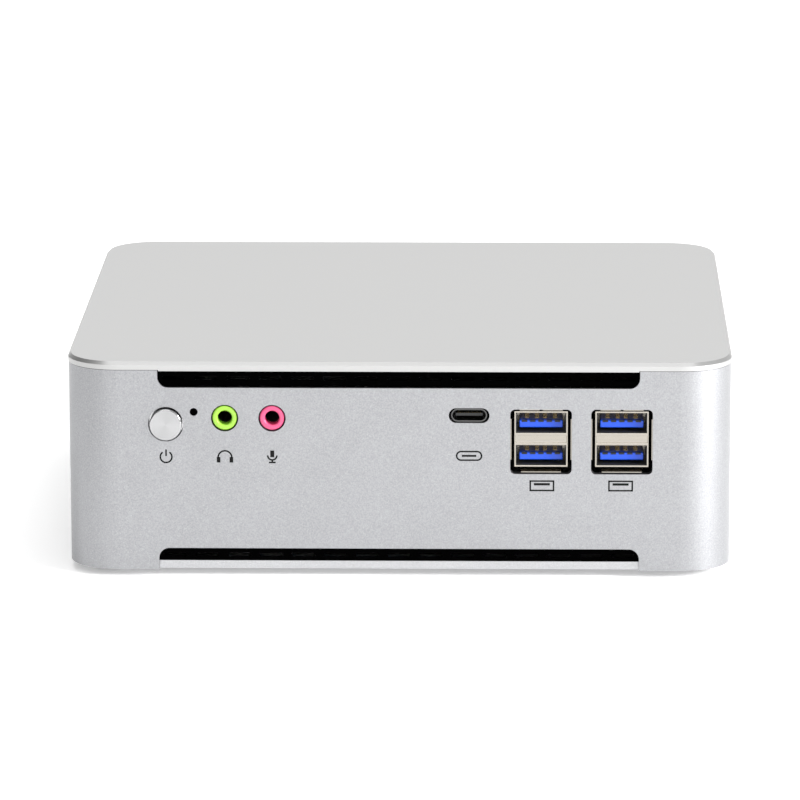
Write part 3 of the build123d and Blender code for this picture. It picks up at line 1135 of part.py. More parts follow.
# Power inlet: a block with a round collar in the wall, and a pin in the middle of its bore
with BuildPart() as power_inlet:
    with BuildSketch(BACK_FACE.offset(-WALL)):
        with Locations((-INLET_X, INLET_HEIGHT)):
            Rectangle(INLET_BODY[0], INLET_BODY[1])
    extrude(amount=-INLET_BODY[2])
    with BuildSketch(BACK_FACE.offset(-WALL)):
        with Locations((-INLET_X, INLET_HEIGHT)):
            Circle(INLET_COLLAR / 2)
    extrude(amount=WALL)
    with BuildSketch(BACK_FACE):
        with Locations((-INLET_X, INLET_HEIGHT)):
            Circle(INLET_BORE / 2)
    extrude(amount=-INLET_BORE_DEPTH, mode=Mode.SUBTRACT)
    with BuildSketch(BACK_FACE.offset(-INLET_BORE_DEPTH)):
        with Locations((-INLET_X, INLET_HEIGHT)):
            Circle(INLET_PIN / 2)
    extrude(amount=INLET_PIN_LENGTH)
power_inlet.part.label = "power_inlet"
export_step(power_inlet.part, "parts/power_inlet.step")

# ---- small parts on the board ----

with BuildPart() as chokes:
    with BuildSketch(Plane.XY.offset(BOARD_UNDER)):
        with Locations(*[(x, MID_Y + CHOKE_Y) for x in CHOKE_XS]):
            Rectangle(CHOKE_SIZE[0], CHOKE_SIZE[0])
    extrude(amount=-CHOKE_SIZE[1])
    chamfer(chokes.edges().filter_by(Axis.Z), CHOKE_SIZE[1] / 5)
chokes.part.label = "chokes"
export_step(chokes.part, "parts/chokes.step")

with BuildPart() as capacitors:
    with BuildSketch(Plane.XY.offset(BOARD_UNDER)):
        with Locations(*[(x, MID_Y + CAPACITOR_Y) for x in CHOKE_XS]):
            Circle(CAPACITOR_SIZE[0] / 2)
    extrude(amount=-CAPACITOR_SIZE[1])
    fillet(capacitors.faces().filter_by(Axis.Z).group_by(Axis.Z)[0].edges(), CAPACITOR_SIZE[0] / 12)
capacitors.part.label = "capacitors"
export_step(capacitors.part, "parts/capacitors.step")

# Coin cell in a round holder on the upper side of the board
with BuildPart() as cell_holder:
    with BuildSketch(Plane.XY.offset(BOARD_TOP)):
        with Locations((CELL_PLACE[0], MID_Y + CELL_PLACE[1])):
            Circle(CELL_HOLDER / 2)
    extrude(amount=CELL_FLOOR + CELL_THICKNESS)
    with BuildSketch(Plane.XY.offset(BOARD_TOP + CELL_FLOOR)):
        with Locations((CELL_PLACE[0], MID_Y + CELL_PLACE[1])):
            Circle(CELL_DIAMETER / 2 + FIT_GAP)
    extrude(amount=CELL_THICKNESS, mode=Mode.SUBTRACT)
cell_holder.part.label = "cell_holder"
export_step(cell_holder.part, "parts/cell_holder.step")

with BuildPart() as coin_cell:
    with BuildSketch(Plane.XY.offset(BOARD_TOP + CELL_FLOOR)):
        with Locations((CELL_PLACE[0], MID_Y + CELL_PLACE[1])):
            Circle(CELL_DIAMETER / 2)
    extrude(amount=CELL_THICKNESS)
    fillet(coin_cell.faces().filter_by(Axis.Z).edges(), CELL_THICKNESS / 8)
coin_cell.part.label = "coin_cell"
export_step(coin_cell.part, "parts/coin_cell.step")
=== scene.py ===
import math

import bpy
from mathutils import Euler, Matrix, Vector


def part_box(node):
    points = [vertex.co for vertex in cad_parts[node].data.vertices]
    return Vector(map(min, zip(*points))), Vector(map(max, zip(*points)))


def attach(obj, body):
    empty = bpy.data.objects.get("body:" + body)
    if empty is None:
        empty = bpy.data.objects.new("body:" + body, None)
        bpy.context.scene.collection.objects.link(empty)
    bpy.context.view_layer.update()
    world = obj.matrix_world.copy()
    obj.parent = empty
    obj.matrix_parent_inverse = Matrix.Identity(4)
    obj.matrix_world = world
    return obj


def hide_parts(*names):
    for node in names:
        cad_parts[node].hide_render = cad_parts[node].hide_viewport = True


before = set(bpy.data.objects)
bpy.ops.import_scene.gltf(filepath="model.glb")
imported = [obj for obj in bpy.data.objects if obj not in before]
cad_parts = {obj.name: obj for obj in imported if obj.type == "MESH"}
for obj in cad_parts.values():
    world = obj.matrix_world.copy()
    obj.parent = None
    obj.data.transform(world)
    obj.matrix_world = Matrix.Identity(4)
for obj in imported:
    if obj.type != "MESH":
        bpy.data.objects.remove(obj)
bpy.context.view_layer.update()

# ---- Studio ----
# A white table that runs out of sight, a room that is darker on the left, and three soft boxes. The
# camera stands well back with a long lens, a little above the computer.
mm = 0.001
scene = bpy.context.scene
scene.view_settings.view_transform = "Standard"

camera = bpy.data.objects.new("camera", bpy.data.cameras.new("camera"))
scene.collection.objects.link(camera)
camera.data.lens = 247.6
camera.data.clip_end = 20
camera.location = (31.84 * mm, -1415.66 * mm, 345.47 * mm)
aim = Euler((math.radians(90 - 12.666), 0, math.radians(1.351))).to_matrix()
camera.rotation_euler = (aim @ Matrix.Rotation(math.radians(-0.124), 3, "Z")).to_euler()
scene.camera = camera


def deselect():
    """Nothing stays selected, so that the next operator acts on the new piece alone."""
    if bpy.context.object and bpy.context.object.mode != "OBJECT":
        bpy.ops.object.mode_set(mode="OBJECT")
    bpy.ops.object.select_all(action="DESELECT")


deselect()
bpy.ops.mesh.primitive_plane_add(size=6)
floor = bpy.context.object
floor.name = "table_top"
floor_paint = bpy.data.materials.new("white table")
floor_paint.use_nodes = True
floor_paint.node_tree.nodes["Principled BSDF"].inputs["Base Color"].default_value = (0.9, 0.9, 0.9, 1)
floor_paint.node_tree.nodes["Principled BSDF"].inputs["Roughness"].default_value = 0.9
floor_paint.node_tree.nodes["Principled BSDF"].inputs["Emission Color"].default_value = (1, 1, 1, 1)
floor_paint.node_tree.nodes["Principled BSDF"].inputs["Emission Strength"].default_value = 0.28
floor.data.materials.append(floor_paint)

room = bpy.data.worlds.new("pale room")
room.use_nodes = True
room.node_tree.nodes["Background"].inputs["Strength"].default_value = 0.85
way = room.node_tree.nodes.new("ShaderNodeTexCoord")
split = room.node_tree.nodes.new("ShaderNodeSeparateXYZ")
fade = room.node_tree.nodes.new("ShaderNodeMapRange")
fade.inputs["From Min"].default_value = -0.95
fade.inputs["From Max"].default_value = -0.25
fade.inputs["To Min"].default_value = 0.05
fade.inputs["To Max"].default_value = 1.0
room.node_tree.links.new(way.outputs["Generated"], split.inputs[0])
room.node_tree.links.new(split.outputs["X"], fade.inputs["Value"])
room.node_tree.links.new(fade.outputs[0], room.node_tree.nodes["Background"].inputs["Color"])
scene.world = room


def soft_box(name, place, size, power):
    """A square lamp that faces the computer."""
    lamp = bpy.data.objects.new(name, bpy.data.lights.new(name, "AREA"))
    lamp.data.size = size
    lamp.data.energy = power
    lamp.location = place
    lamp.rotation_euler = (Vector((0, 0, 0.03)) - Vector(place)).to_track_quat("-Z", "Y").to_euler()
    scene.collection.objects.link(lamp)
    return lamp


soft_box("top_light", (0, 0.2, 1.6), 1.2, 8)
soft_box("right_light", (1.4, -0.7, 0.6), 0.55, 50)
soft_box("front_light", (-0.2, -1.8, 1.2), 1.0, 8)


# ---- Case frame ----
# The four walls: one bent and milled ring of aluminium, bead-blasted and anodised silver. The blasting
# leaves a fine grain; the sparkle of single grains is painted into the colour as bright specks, which are
# painted glints. Just under the top cover the frame's colour is darkened to a fine dark line, painted shade
# in the joint.
def node(tree, kind, inputs=None, **settings):
    """Adds a shader node. Each input is a plain value, or a socket that is linked to it."""
    made = tree.nodes.new("ShaderNode" + kind)
    for key, value in settings.items():
        setattr(made, key, value)
    for key, value in (inputs or {}).items():
        if isinstance(value, bpy.types.NodeSocket):
            tree.links.new(value, made.inputs[key])
        else:
            made.inputs[key].default_value = value
    return made


def new_group(name, inputs, outputs):
    """A node group with these (name, kind, value) inputs and (name, kind) outputs."""
    tree = bpy.data.node_groups.new(name, "ShaderNodeTree")
    for label, kind, value in inputs:
        socket = tree.interface.new_socket(label, in_out="INPUT", socket_type="NodeSocket" + kind)
        socket.default_value = value
    for label, kind in outputs:
        tree.interface.new_socket(label, in_out="OUTPUT", socket_type="NodeSocket" + kind)
    return tree, tree.nodes.new("NodeGroupInput").outputs, tree.nodes.new("NodeGroupOutput")


def place_group(tree, group, inputs):
    """Puts a copy of a node group in a material."""
    made = tree.nodes.new("ShaderNodeGroup")
    made.node_tree = group
    for key, value in inputs.items():
        made.inputs[key].default_value = value
    return made.outputs


def new_material(name, color, roughness, metallic=0.0, **sockets):
    """A material with its shader's plain values set. Returns it with its node tree and its shader."""
    material = bpy.data.materials.new(name)
    material.use_nodes = True
    shader = material.node_tree.nodes["Principled BSDF"]
    shader.inputs["Base Color"].default_value = (*color, 1)
    shader.inputs["Roughness"].default_value = roughness
    shader.inputs["Metallic"].default_value = metallic
    for key, value in sockets.items():
        shader.inputs[key.replace("_", " ")].default_value = value
    return material, material.node_tree, shader


def set_bump(tree, shader, height, strength, distance):
    """Raises the surface where the height is high."""
    bump = node(tree, "Bump", {"Height": height, "Strength": strength, "Distance": distance})
    tree.links.new(bump.outputs["Normal"], shader.inputs["Normal"])


def dress(material, *names):
    """Gives CAD nodes their finish."""
    for name in names:
        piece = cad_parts[name]
        piece.data.materials.clear()
        piece.data.materials.append(material)


# Blasted grain: a tone near 1 with bright specks in it, which are painted glints for the sparkle of single
# grains, and the height of the grain
blasted, given, out = new_group(
    "blasted grain",
    [("Grain", "Float", 1600.0), ("Specks", "Float", 0.3), ("Mottle", "Float", 0.05)],
    [("Tone", "Float"), ("Height", "Float")],
)
spot = node(blasted, "TexCoord").outputs["Object"]
grain = node(blasted, "TexNoise", {"Vector": spot, "Scale": given["Grain"], "Detail": 3.0})
cells = node(blasted, "TexVoronoi", {"Vector": spot, "Scale": given["Grain"]})
pick = node(blasted, "SeparateColor", {"Color": cells.outputs["Color"]})
# Painted glints: a few grains are made brighter in colour, standing in for light sparkling off them.
rare = node(blasted, "Math", {0: pick.outputs[0], 1: 0.9}, operation="GREATER_THAN")
core = node(blasted, "Math", {0: cells.outputs["Distance"], 1: 0.35}, operation="LESS_THAN")
glint_speck = node(blasted, "Math", {0: rare.outputs[0], 1: core.outputs[0]}, operation="MULTIPLY")
painted_glint = node(blasted, "Math", {0: glint_speck.outputs[0], 1: given["Specks"]}, operation="MULTIPLY")
cloud = node(blasted, "TexNoise", {"Vector": spot, "Scale": 90.0, "Detail": 4.0})
both = node(blasted, "Math", {0: cloud.outputs[0], 1: 0.15, 2: grain.outputs[0]}, operation="MULTIPLY_ADD")
level = node(blasted, "Math", {0: both.outputs[0], 1: 0.575}, operation="SUBTRACT")
shade = node(blasted, "Math", {0: level.outputs[0], 1: given["Mottle"], 2: 1.0}, operation="MULTIPLY_ADD")
tone = node(blasted, "Math", {0: shade.outputs[0], 1: painted_glint.outputs[0]}, operation="ADD")
blasted.links.new(tone.outputs[0], out.inputs["Tone"])
blasted.links.new(grain.outputs[0], out.inputs["Height"])


def aluminium(name, color, roughness, grain_size, specks, mottle, bump):
    """Anodised aluminium with a blasted grain."""
    material, tree, shader = new_material(name, color, roughness, 1.0)
    surface = place_group(tree, blasted, {"Grain": grain_size, "Specks": specks, "Mottle": mottle})
    tinted = node(tree, "VectorMath", {0: color, "Scale": surface["Tone"]}, operation="SCALE")
    tree.links.new(tinted.outputs[0], shader.inputs["Base Color"])
    set_bump(tree, shader, surface["Height"], bump, 0.02 * mm)
    return material, tree, shader


wall_silver = (0.348, 0.351, 0.362)
frame_finish, tree, shader = aluminium("blasted aluminium", wall_silver, 0.42, 3200.0, 0.20, 0.60, 0.7)
spot = node(tree, "SeparateXYZ", {0: node(tree, "TexCoord").outputs["Object"]})
# Painted shade: above this height the frame's colour drops to 0.15 of its tone, a dark line where the joint
# under the top cover is shaded.
shade_line_height = 52.95 * mm
joint_shade_mask = node(tree, "Math", {0: spot.outputs["Z"], 1: shade_line_height}, operation="GREATER_THAN")
blasted_tone = shader.inputs["Base Color"].links[0].from_socket
joint_shade = node(tree, "MapRange", {"Value": joint_shade_mask.outputs[0], "To Min": 1.0, "To Max": 0.15})
shade_lined = node(tree, "VectorMath", {0: blasted_tone, "Scale": joint_shade.outputs[0]}, operation="SCALE")
tree.links.new(shade_lined.outputs[0], shader.inputs["Base Color"])
dress(frame_finish, "case_frame")

# ---- Top cover ----
# A flat plate with a finer, almost smooth satin finish. Its upper edge is cut back at an angle after the
# anodising, which leaves a bright bevel all the way round.
cover_silver = (0.67, 0.67, 0.665)
cover_finish, tree, shader = aluminium("satin aluminium", cover_silver, 0.38, 2600.0, 0.0, 0.04, 0.25)
facing = node(tree, "SeparateXYZ", {0: node(tree, "NewGeometry").outputs["True Normal"]})
slanted = node(tree, "Math", {0: facing.outputs["Z"], 1: 0.7071, 2: 0.2}, operation="COMPARE")
polish = node(tree, "MapRange", {"Value": slanted.outputs[0], "To Min": 0.38, "To Max": 0.28})
tree.links.new(polish.outputs[0], shader.inputs["Roughness"])
# Painted shade: faces of the cover that do not face up get 0.72 of its colour, so the sides read as shaded.
level = node(tree, "Math", {0: facing.outputs["Z"], 1: 1.0, 2: 0.1}, operation="COMPARE")
side_shade = node(tree, "MapRange", {"Value": level.outputs[0], "To Min": 0.72, "To Max": 1.0})
satin = shader.inputs["Base Color"].links[0].from_socket
sides = node(tree, "VectorMath", {0: satin, "Scale": side_shade.outputs[0]}, operation="SCALE")
tree.links.new(sides.outputs[0], shader.inputs["Base Color"])
dress(cover_finish, "top_cover")

# ---- Bottom cover ----
# The plate under the case, of the same blasted aluminium as the walls. Its cut edge shows in the lower
# slots, a little brighter than the walls.
base_finish, _, _ = aluminium("blasted base plate", (0.465, 0.468, 0.478), 0.40, 3200.0, 0.16, 0.40, 0.5)
dress(base_finish, "bottom_cover")

# ---- Vent screens ----
# Thin steel strips with two rows of short slots, glued behind the openings in the walls. They are near black
# with no shine, painted shade that stands in for the dark inside of the case seen through the openings. A
# little dust lies in the paint.
near_black = (0.0006, 0.0006, 0.0006)
# Painted shade: near black with no specular, so the openings read dark.
screen_shade_paint, tree, shader = new_material("black screen painted shade", near_black, 0.9, Specular_IOR_Level=0.0)
spot = node(tree, "TexCoord").outputs["Object"]
dust = node(tree, "TexNoise", {"Vector": spot, "Scale": 900.0, "Detail": 3.0})
grey = node(tree, "MapRange", {
    "Value": dust.outputs[0], "From Min": 0.62, "From Max": 0.8, "To Min": 0.0005, "To Max": 0.002,
})
tree.links.new(grey.outputs[0], shader.inputs["Base Color"])
set_bump(tree, shader, dust.outputs[0], 0.3, 0.02 * mm)
dress(screen_shade_paint, "upper_vent_screens", "lower_vent_screens")

# ---- Feet, nuts and screws underneath ----
# Four moulded rubber pads glued under the case, black countersunk screws in the corners, and zinc-plated
# nuts pressed into the plate for a wall bracket.
moulded, given, out = new_group(
    "moulded skin",
    [("Grain", "Float", 900.0), ("Spread", "Float", 0.1), ("Roughness", "Float", 0.5)],
    [("Height", "Float"), ("Roughness", "Float"), ("Tone", "Float")],
)
spot = node(moulded, "TexCoord").outputs["Object"]
fine = node(moulded, "TexNoise", {"Vector": spot, "Scale": given["Grain"], "Detail": 4.0})
broad = node(moulded, "TexNoise", {"Vector": spot, "Scale": 60.0, "Detail": 3.0})
lean = node(moulded, "Math", {0: broad.outputs[0], 1: 0.5}, operation="SUBTRACT")
drift = {0: lean.outputs[0], 1: given["Spread"]}
rough = node(moulded, "Math", {**drift, 2: given["Roughness"]}, operation="MULTIPLY_ADD")
tone = node(moulded, "Math", {**drift, 2: 1.0}, operation="MULTIPLY_ADD")
moulded.links.new(fine.outputs[0], out.inputs["Height"])
moulded.links.new(rough.outputs[0], out.inputs["Roughness"])
moulded.links.new(tone.outputs[0], out.inputs["Tone"])


def skin(name, color, roughness, metallic=0.0, grain_size=900.0, spread=0.15, bump=0.15, **sockets):
    """A moulded, cast or plated surface: fine grain, and a gloss and tone that drift a little."""
    material, tree, shader = new_material(name, color, roughness, metallic, **sockets)
    surface = place_group(tree, moulded, {"Grain": grain_size, "Spread": spread, "Roughness": roughness})
    tinted = node(tree, "VectorMath", {0: color, "Scale": surface["Tone"]}, operation="SCALE")
    tree.links.new(tinted.outputs[0], shader.inputs["Base Color"])
    tree.links.new(surface["Roughness"], shader.inputs["Roughness"])
    set_bump(tree, shader, surface["Height"], bump, 0.03 * mm)
    return material


rubber = skin("black rubber", (0.018, 0.018, 0.019), 0.75, grain_size=1400.0, bump=0.5)
zinc = skin("zinc plate", (0.62, 0.61, 0.60), 0.32, 1.0, grain_size=700.0, spread=0.25)
black_zinc = skin("black oxide", (0.03, 0.03, 0.032), 0.38, 0.8, grain_size=700.0, spread=0.3)
dress(rubber, "rubber_feet")
dress(zinc, "wall_mount_nuts")
dress(black_zinc, "cover_screws")

# ---- Power button ----
# A turned aluminium cap. The lathe leaves fine rings on its flat face, a bump; the fan of light that they
# throw is painted into the face's colour as a painted sheen, and its rounded rim is polished. The plunger
# behind it is white nylon and the switch is a black block.
low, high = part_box("power_button")
button_middle = (low + high) / 2
button_silver = (0.42, 0.42, 0.425)
rim_radius = 3.6 * mm
button_finish, tree, shader = new_material("turned button face", button_silver, 0.3, 1.0)
spot = node(tree, "TexCoord").outputs["Object"]
centred = node(tree, "Mapping", {"Vector": spot, "Location": -button_middle})
axes = node(tree, "SeparateXYZ", {0: centred.outputs[0]})
flat = node(tree, "CombineXYZ", {0: axes.outputs["X"], 1: axes.outputs["Z"]})
radius = node(tree, "VectorMath", {0: flat.outputs[0]}, operation="LENGTH")
rings = node(tree, "Math", {0: radius.outputs["Value"], 1: 40000.0}, operation="MULTIPLY")
groove = node(tree, "Math", {0: rings.outputs[0]}, operation="SINE")
# Painted sheen: the face's colour rises and falls by 5 % with the angle round its centre, a fan of light
# painted in.
angle = node(tree, "Math", {0: axes.outputs["Z"], 1: axes.outputs["X"]}, operation="ARCTAN2")
fan = node(tree, "Math", {0: angle.outputs[0], 1: 2.0, 2: 0.6}, operation="MULTIPLY_ADD")
painted_sheen = node(tree, "Math", {0: fan.outputs[0]}, operation="COSINE")
light = node(tree, "Math", {0: painted_sheen.outputs[0], 1: 0.05, 2: 1.0}, operation="MULTIPLY_ADD")
rim = node(tree, "MapRange", {
    "Value": radius.outputs["Value"], "From Min": rim_radius, "From Max": rim_radius + 0.12 * mm,
})
turned = node(tree, "VectorMath", {0: button_silver, "Scale": light.outputs[0]}, operation="SCALE")
gloss = node(tree, "MapRange", {"Value": rim.outputs[0], "To Min": 0.34, "To Max": 0.08})
tree.links.new(turned.outputs[0], shader.inputs["Base Color"])
tree.links.new(gloss.outputs[0], shader.inputs["Roughness"])
set_bump(tree, shader, groove.outputs[0], 0.05, 0.002 * mm)
dress(button_finish, "power_button")
nylon = skin("white nylon", (0.72, 0.70, 0.64), 0.5, grain_size=500.0)
black_plastic = skin("black moulding", (0.012, 0.012, 0.013), 0.42, grain_size=800.0, spread=0.3)
dress(nylon, "switch_plunger")
dress(black_plastic, "power_switch")

# ---- Status light ----
# A smoked acrylic rod, dark while the lamp behind it is off, its end polished flush with the wall.
smoke = skin("smoked acrylic", near_black, 0.6, grain_size=200.0, bump=0.02, Specular_IOR_Level=0.0)
dress(smoke, "light_pipe")

# ---- Audio jacks ----
# Black bodies soldered to the board. Each has a glossy coloured barrel in the wall, with a rounded mouth,
# and a sprung contact of bronze inside.
green = skin("lime green moulding", (0.27, 0.52, 0.05), 0.28, grain_size=400.0, spread=0.06, bump=0.05)
pink = skin("pink moulding", (0.58, 0.07, 0.17), 0.28, grain_size=400.0, spread=0.06, bump=0.05)
bronze = skin("gilt bronze", (0.78, 0.56, 0.22), 0.25, 1.0, grain_size=500.0)
dress(black_plastic, "audio_jacks")

# In edit mode, whole faces are selected
bpy.context.tool_settings.mesh_select_mode = (False, False, True)


def settle(piece, name, material, body="case"):
    """Puts the place of a finished piece in its mesh, names it, and gives it its finish and its body."""
    deselect()
    piece.select_set(True)
    bpy.context.view_layer.objects.active = piece
    bpy.ops.object.transform_apply(location=True, rotation=True, scale=True)
    piece.name = name
    piece.data.name = name
    piece.data.materials.clear()
    piece.data.materials.append(material)
    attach(piece, body)
    return piece


def join(pieces):
    """Makes one mesh of several."""
    deselect()
    for piece in pieces:
        piece.select_set(True)
    bpy.context.view_layer.objects.active = pieces[0]
    if len(pieces) > 1:
        bpy.ops.object.join()
    return bpy.context.view_layer.objects.active


def round_edges(piece, width, segments=2, angle=40):
    """Bevels the sharp edges of a piece."""
    deselect()
    piece.select_set(True)
    bpy.context.view_layer.objects.active = piece
    bevel = piece.modifiers.new("edges", "BEVEL")
    bevel.width = width
    bevel.segments = segments
    bevel.limit_method = "ANGLE"
    bevel.angle_limit = math.radians(angle)
    bpy.ops.object.modifier_apply(modifier="edges")


def block(place, size):
    """A box on its own, as a start."""
    deselect()
    bpy.ops.mesh.primitive_cube_add(size=1, location=place)
    piece = bpy.context.object
    piece.scale = size
    bpy.ops.object.transform_apply(location=True, rotation=False, scale=True)
    return piece


def tube(place, outer, inner, depth, lip):
    """A tube about Y that starts at this place, with rounded rims."""
    deselect()
    bpy.ops.mesh.primitive_cylinder_add(
        vertices=64, radius=outer, depth=depth, location=(place[0], place[1] + depth / 2, place[2]),
        rotation=(math.pi / 2, 0, 0),
    )
    piece = bpy.context.object
    bpy.ops.object.transform_apply(location=False, rotation=True, scale=False)
    for face in piece.data.polygons:
        face.select = len(face.vertices) > 4
    bpy.ops.object.mode_set(mode="EDIT")
    bpy.ops.mesh.inset(thickness=outer - inner, depth=0, use_individual=True)
    bpy.ops.mesh.bridge_edge_loops()
    bpy.ops.object.mode_set(mode="OBJECT")
    round_edges(piece, lip, 3)
    bpy.ops.object.shade_smooth_by_angle(angle=math.radians(35))
    return piece


jack_bore = 1.8 * mm
for colour, material in (("green", green), ("pink", pink)):
    low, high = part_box(f"{colour}_jack_barrel")
    middle = (low + high) / 2
    front = (middle.x, low.y, middle.z)
    barrel = tube(front, (high.x - low.x) / 2, jack_bore, high.y - low.y, 0.4 * mm)
    settle(barrel, f"{colour}_jack_mouth", material)
    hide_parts(f"{colour}_jack_barrel")
    leaf = block((middle.x, low.y + 8 * mm, middle.z + 1.6 * mm), (1.0 * mm, 5 * mm, 0.2 * mm))
    round_edges(leaf, 0.06 * mm)
    settle(leaf, f"{colour}_jack_contact", bronze)

# ---- Reversible port ----
# A drawn steel shell, nickel plated, round a black tongue with a row of gilt pads on each side.
nickel = skin("nickel plate", (0.36, 0.335, 0.295), 0.2, 1.0, grain_size=300.0, spread=0.15, bump=0.06)
dark_nickel = skin("dark nickel plate", (0.10, 0.10, 0.10), 0.3, 1.0, grain_size=300.0, spread=0.2)
dress(dark_nickel, "type_c_shell")
dress(black_plastic, "type_c_tongue")
low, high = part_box("type_c_shell")
middle = (low + high) / 2
tongue_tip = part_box("type_c_tongue")[0].y
pad_pitch = 0.5 * mm
pads = []
for side in (-1, 1):
    for count in range(12):
        place = (middle.x + (count - 5.5) * pad_pitch, tongue_tip + 1.7 * mm, middle.z + side * 0.355 * mm)
        pads.append(block(place, (0.25 * mm, 2.6 * mm, 0.03 * mm)))
settle(join(pads), "reversible_port_pads", bronze)

# ---- Double ports ----
# Folded steel shells, nickel plated, with two mouths each. Sprung lips are bent outwards from all four sides
# to touch the wall. A moulded tongue in each mouth carries four gilt springs, with five more contacts in
# pockets at its tip: blue in front, black behind; the pockets are black blocks of painted shadow. Black
# linings and a black block at the back of each mouth are painted shade: they stand in for the shade deep
# inside the mouths.
blue = skin("blue moulding", (0.0, 0.06, 0.55), 0.3, grain_size=400.0, spread=0.08, bump=0.05)
pocket_painted_shadow = skin("pocket shadow", (0.002, 0.002, 0.003), 0.6)


def lip(place, width, spread, turn):
    """A sprung strip along +Y that flares outwards at its free end, turned about Y to its side."""
    length, thickness = 4 * mm, 0.2 * mm
    strip = block((0, length / 2, 0), (width, length, thickness))
    bpy.ops.object.mode_set(mode="EDIT")
    bpy.ops.mesh.select_all(action="SELECT")
    bpy.ops.mesh.subdivide(number_cuts=7)
    bpy.ops.object.mode_set(mode="OBJECT")
    for point in strip.data.vertices:
        free = max(0.0, 1 - point.co.y / length)
        point.co.z += spread * free**1.6
        point.co.x *= 1 - 0.10 * free
    bpy.ops.object.shade_smooth_by_angle(angle=math.radians(40))
    strip.matrix_world = Matrix.Translation(place) @ Matrix.Rotation(turn, 4, "Y") @ strip.matrix_world
    return strip


port_height = 14.17 * mm


def double_port(x, mouth_y, middle_z, toward):
    """Shell, tongues, springs, pockets and linings of a double port. `toward` is 1 if it faces -Y."""
    width, length, wall = 13.3 * mm, 17.5 * mm, 0.4 * mm
    pitch, mouth = 8.25 * mm, 5.12 * mm
    shell = block((x, mouth_y + length / 2, middle_z), (width, length, port_height))
    bpy.ops.object.mode_set(mode="EDIT")
    for side in (-1, 1):
        bpy.ops.mesh.select_all(action="SELECT")
        edge = middle_z + side * (pitch / 2 - mouth / 2 - wall)
        bpy.ops.mesh.bisect(plane_co=(x, mouth_y, edge), plane_no=(0, 0, 1))
    bpy.ops.object.mode_set(mode="OBJECT")

    # The two deep mouths, and the shallow tray between them
    hollows = (
        (middle_z - pitch / 2, wall, 10 * mm),
        (middle_z, 0.3 * mm, 0.25 * mm),
        (middle_z + pitch / 2, wall, 10 * mm),
    )
    for height, rim, depth in hollows:
        for face in shell.data.polygons:
            in_front = face.normal.y < -0.9 and face.center.y < mouth_y + 0.1 * mm
            face.select = in_front and abs(face.center.z - height) < mm
        bpy.ops.object.mode_set(mode="EDIT")
        bpy.ops.mesh.inset(thickness=rim, depth=0)
        bpy.ops.mesh.extrude_region_move(TRANSFORM_OT_translate={"value": (0, depth, 0)})
        bpy.ops.mesh.select_all(action="DESELECT")
        bpy.ops.object.mode_set(mode="OBJECT")
    round_edges(shell, 0.09 * mm, 2)

    # The sprung lips, and two tabs on top at the back
    shells = [shell]
    top_z, bottom_z = middle_z + port_height / 2, middle_z - port_height / 2
    for side in (-1, 1):
        edge = (x + side * width / 2, mouth_y - 0.35 * mm, middle_z)
        shells.append(lip(edge, port_height - 2.6 * mm, 0.85 * mm, side * math.pi / 2))
    for half in (-1, 1):
        shells.append(lip((x + half * 2.85 * mm, mouth_y - 0.3 * mm, top_z), 5.55 * mm, 0.42 * mm, 0))
    shells.append(lip((x, mouth_y - 0.3 * mm, bottom_z), 11 * mm, 1.25 * mm, math.pi))
    for side in (-1, 1):
        place = (x + side * (width / 2 - wall / 2), mouth_y + length - 5 * mm, top_z + 0.325 * mm)
        shells.append(block(place, (wall, 10 * mm, 0.65 * mm)))

    # What fills each mouth
    tongues, springs, pockets, linings = [], [], [], []
    # Painted shade: a black block at the back and thin black linings darken the inside of each mouth.
    lining = 0.12 * mm
    for side in (-1, 1):
        cavity = middle_z + side * pitch / 2
        tongue_z = cavity - mouth / 2 + 1.92 * mm
        back = block((x, mouth_y + 12.5 * mm, cavity), (12.4 * mm, 5.0 * mm, 5.0 * mm))
        tongue = block((x, mouth_y + 6.4 * mm, tongue_z), (10.8 * mm, 9.2 * mm, 1.84 * mm))
        round_edges(tongue, 0.22 * mm, 3)
        linings.append(back)
        tongues.append(tongue)
        for end in (-1, 1):
            level = (x, mouth_y + 5.2 * mm, cavity + end * 2.46 * mm)
            upright = (x + end * 6.15 * mm, mouth_y + 5.2 * mm, cavity)
            linings.append(block(level, (12.4 * mm, 9.2 * mm, lining)))
            linings.append(block(upright, (lining, 9.2 * mm, 4.8 * mm)))
        for shift in (-3.5, -1.0, 1.0, 3.5):
            place = (x + shift * mm, mouth_y + 7.2 * mm, tongue_z + 0.97 * mm)
            springs.append(block(place, (1.0 * mm, 5.2 * mm, 0.12 * mm)))
        # Painted shadow: black blocks at the tongue's tip stand in for the shade in its pockets.
        for count in range(5):
            place = (x + (count - 2) * 2.05 * mm, mouth_y + 2.05 * mm, tongue_z + 0.72 * mm)
            pockets.append(block(place, (1.35 * mm, 0.62 * mm, 0.48 * mm)))

    groups = [shells, tongues, springs, pockets, linings]
    if toward < 0:
        half_turn = Matrix.Rotation(math.pi, 4, "Z")
        about_mouth = Matrix.Translation((x, mouth_y, 0)) @ half_turn @ Matrix.Translation((-x, -mouth_y, 0))
        for piece in sum(groups, []):
            piece.matrix_world = about_mouth @ piece.matrix_world
    return groups


def settle_ports(end, groups, shell_name, tongue_finish):
    """Joins each kind of part of the double ports at one end of the case, and finishes them."""
    shells = settle(join(groups[0]), shell_name, nickel)
    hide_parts(f"{end}_usb_shells")
    tongues = settle(join(groups[1]), f"{end}_double_port_tongues", tongue_finish)
    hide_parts(f"{end}_usb_tongues")
    settle(join(groups[2]), f"{end}_double_port_springs", bronze)
    settle(join(groups[3]), f"{end}_double_port_pocket_shadows", pocket_painted_shadow)
    settle(join(groups[4]), f"{end}_double_port_shade_linings", black_plastic)


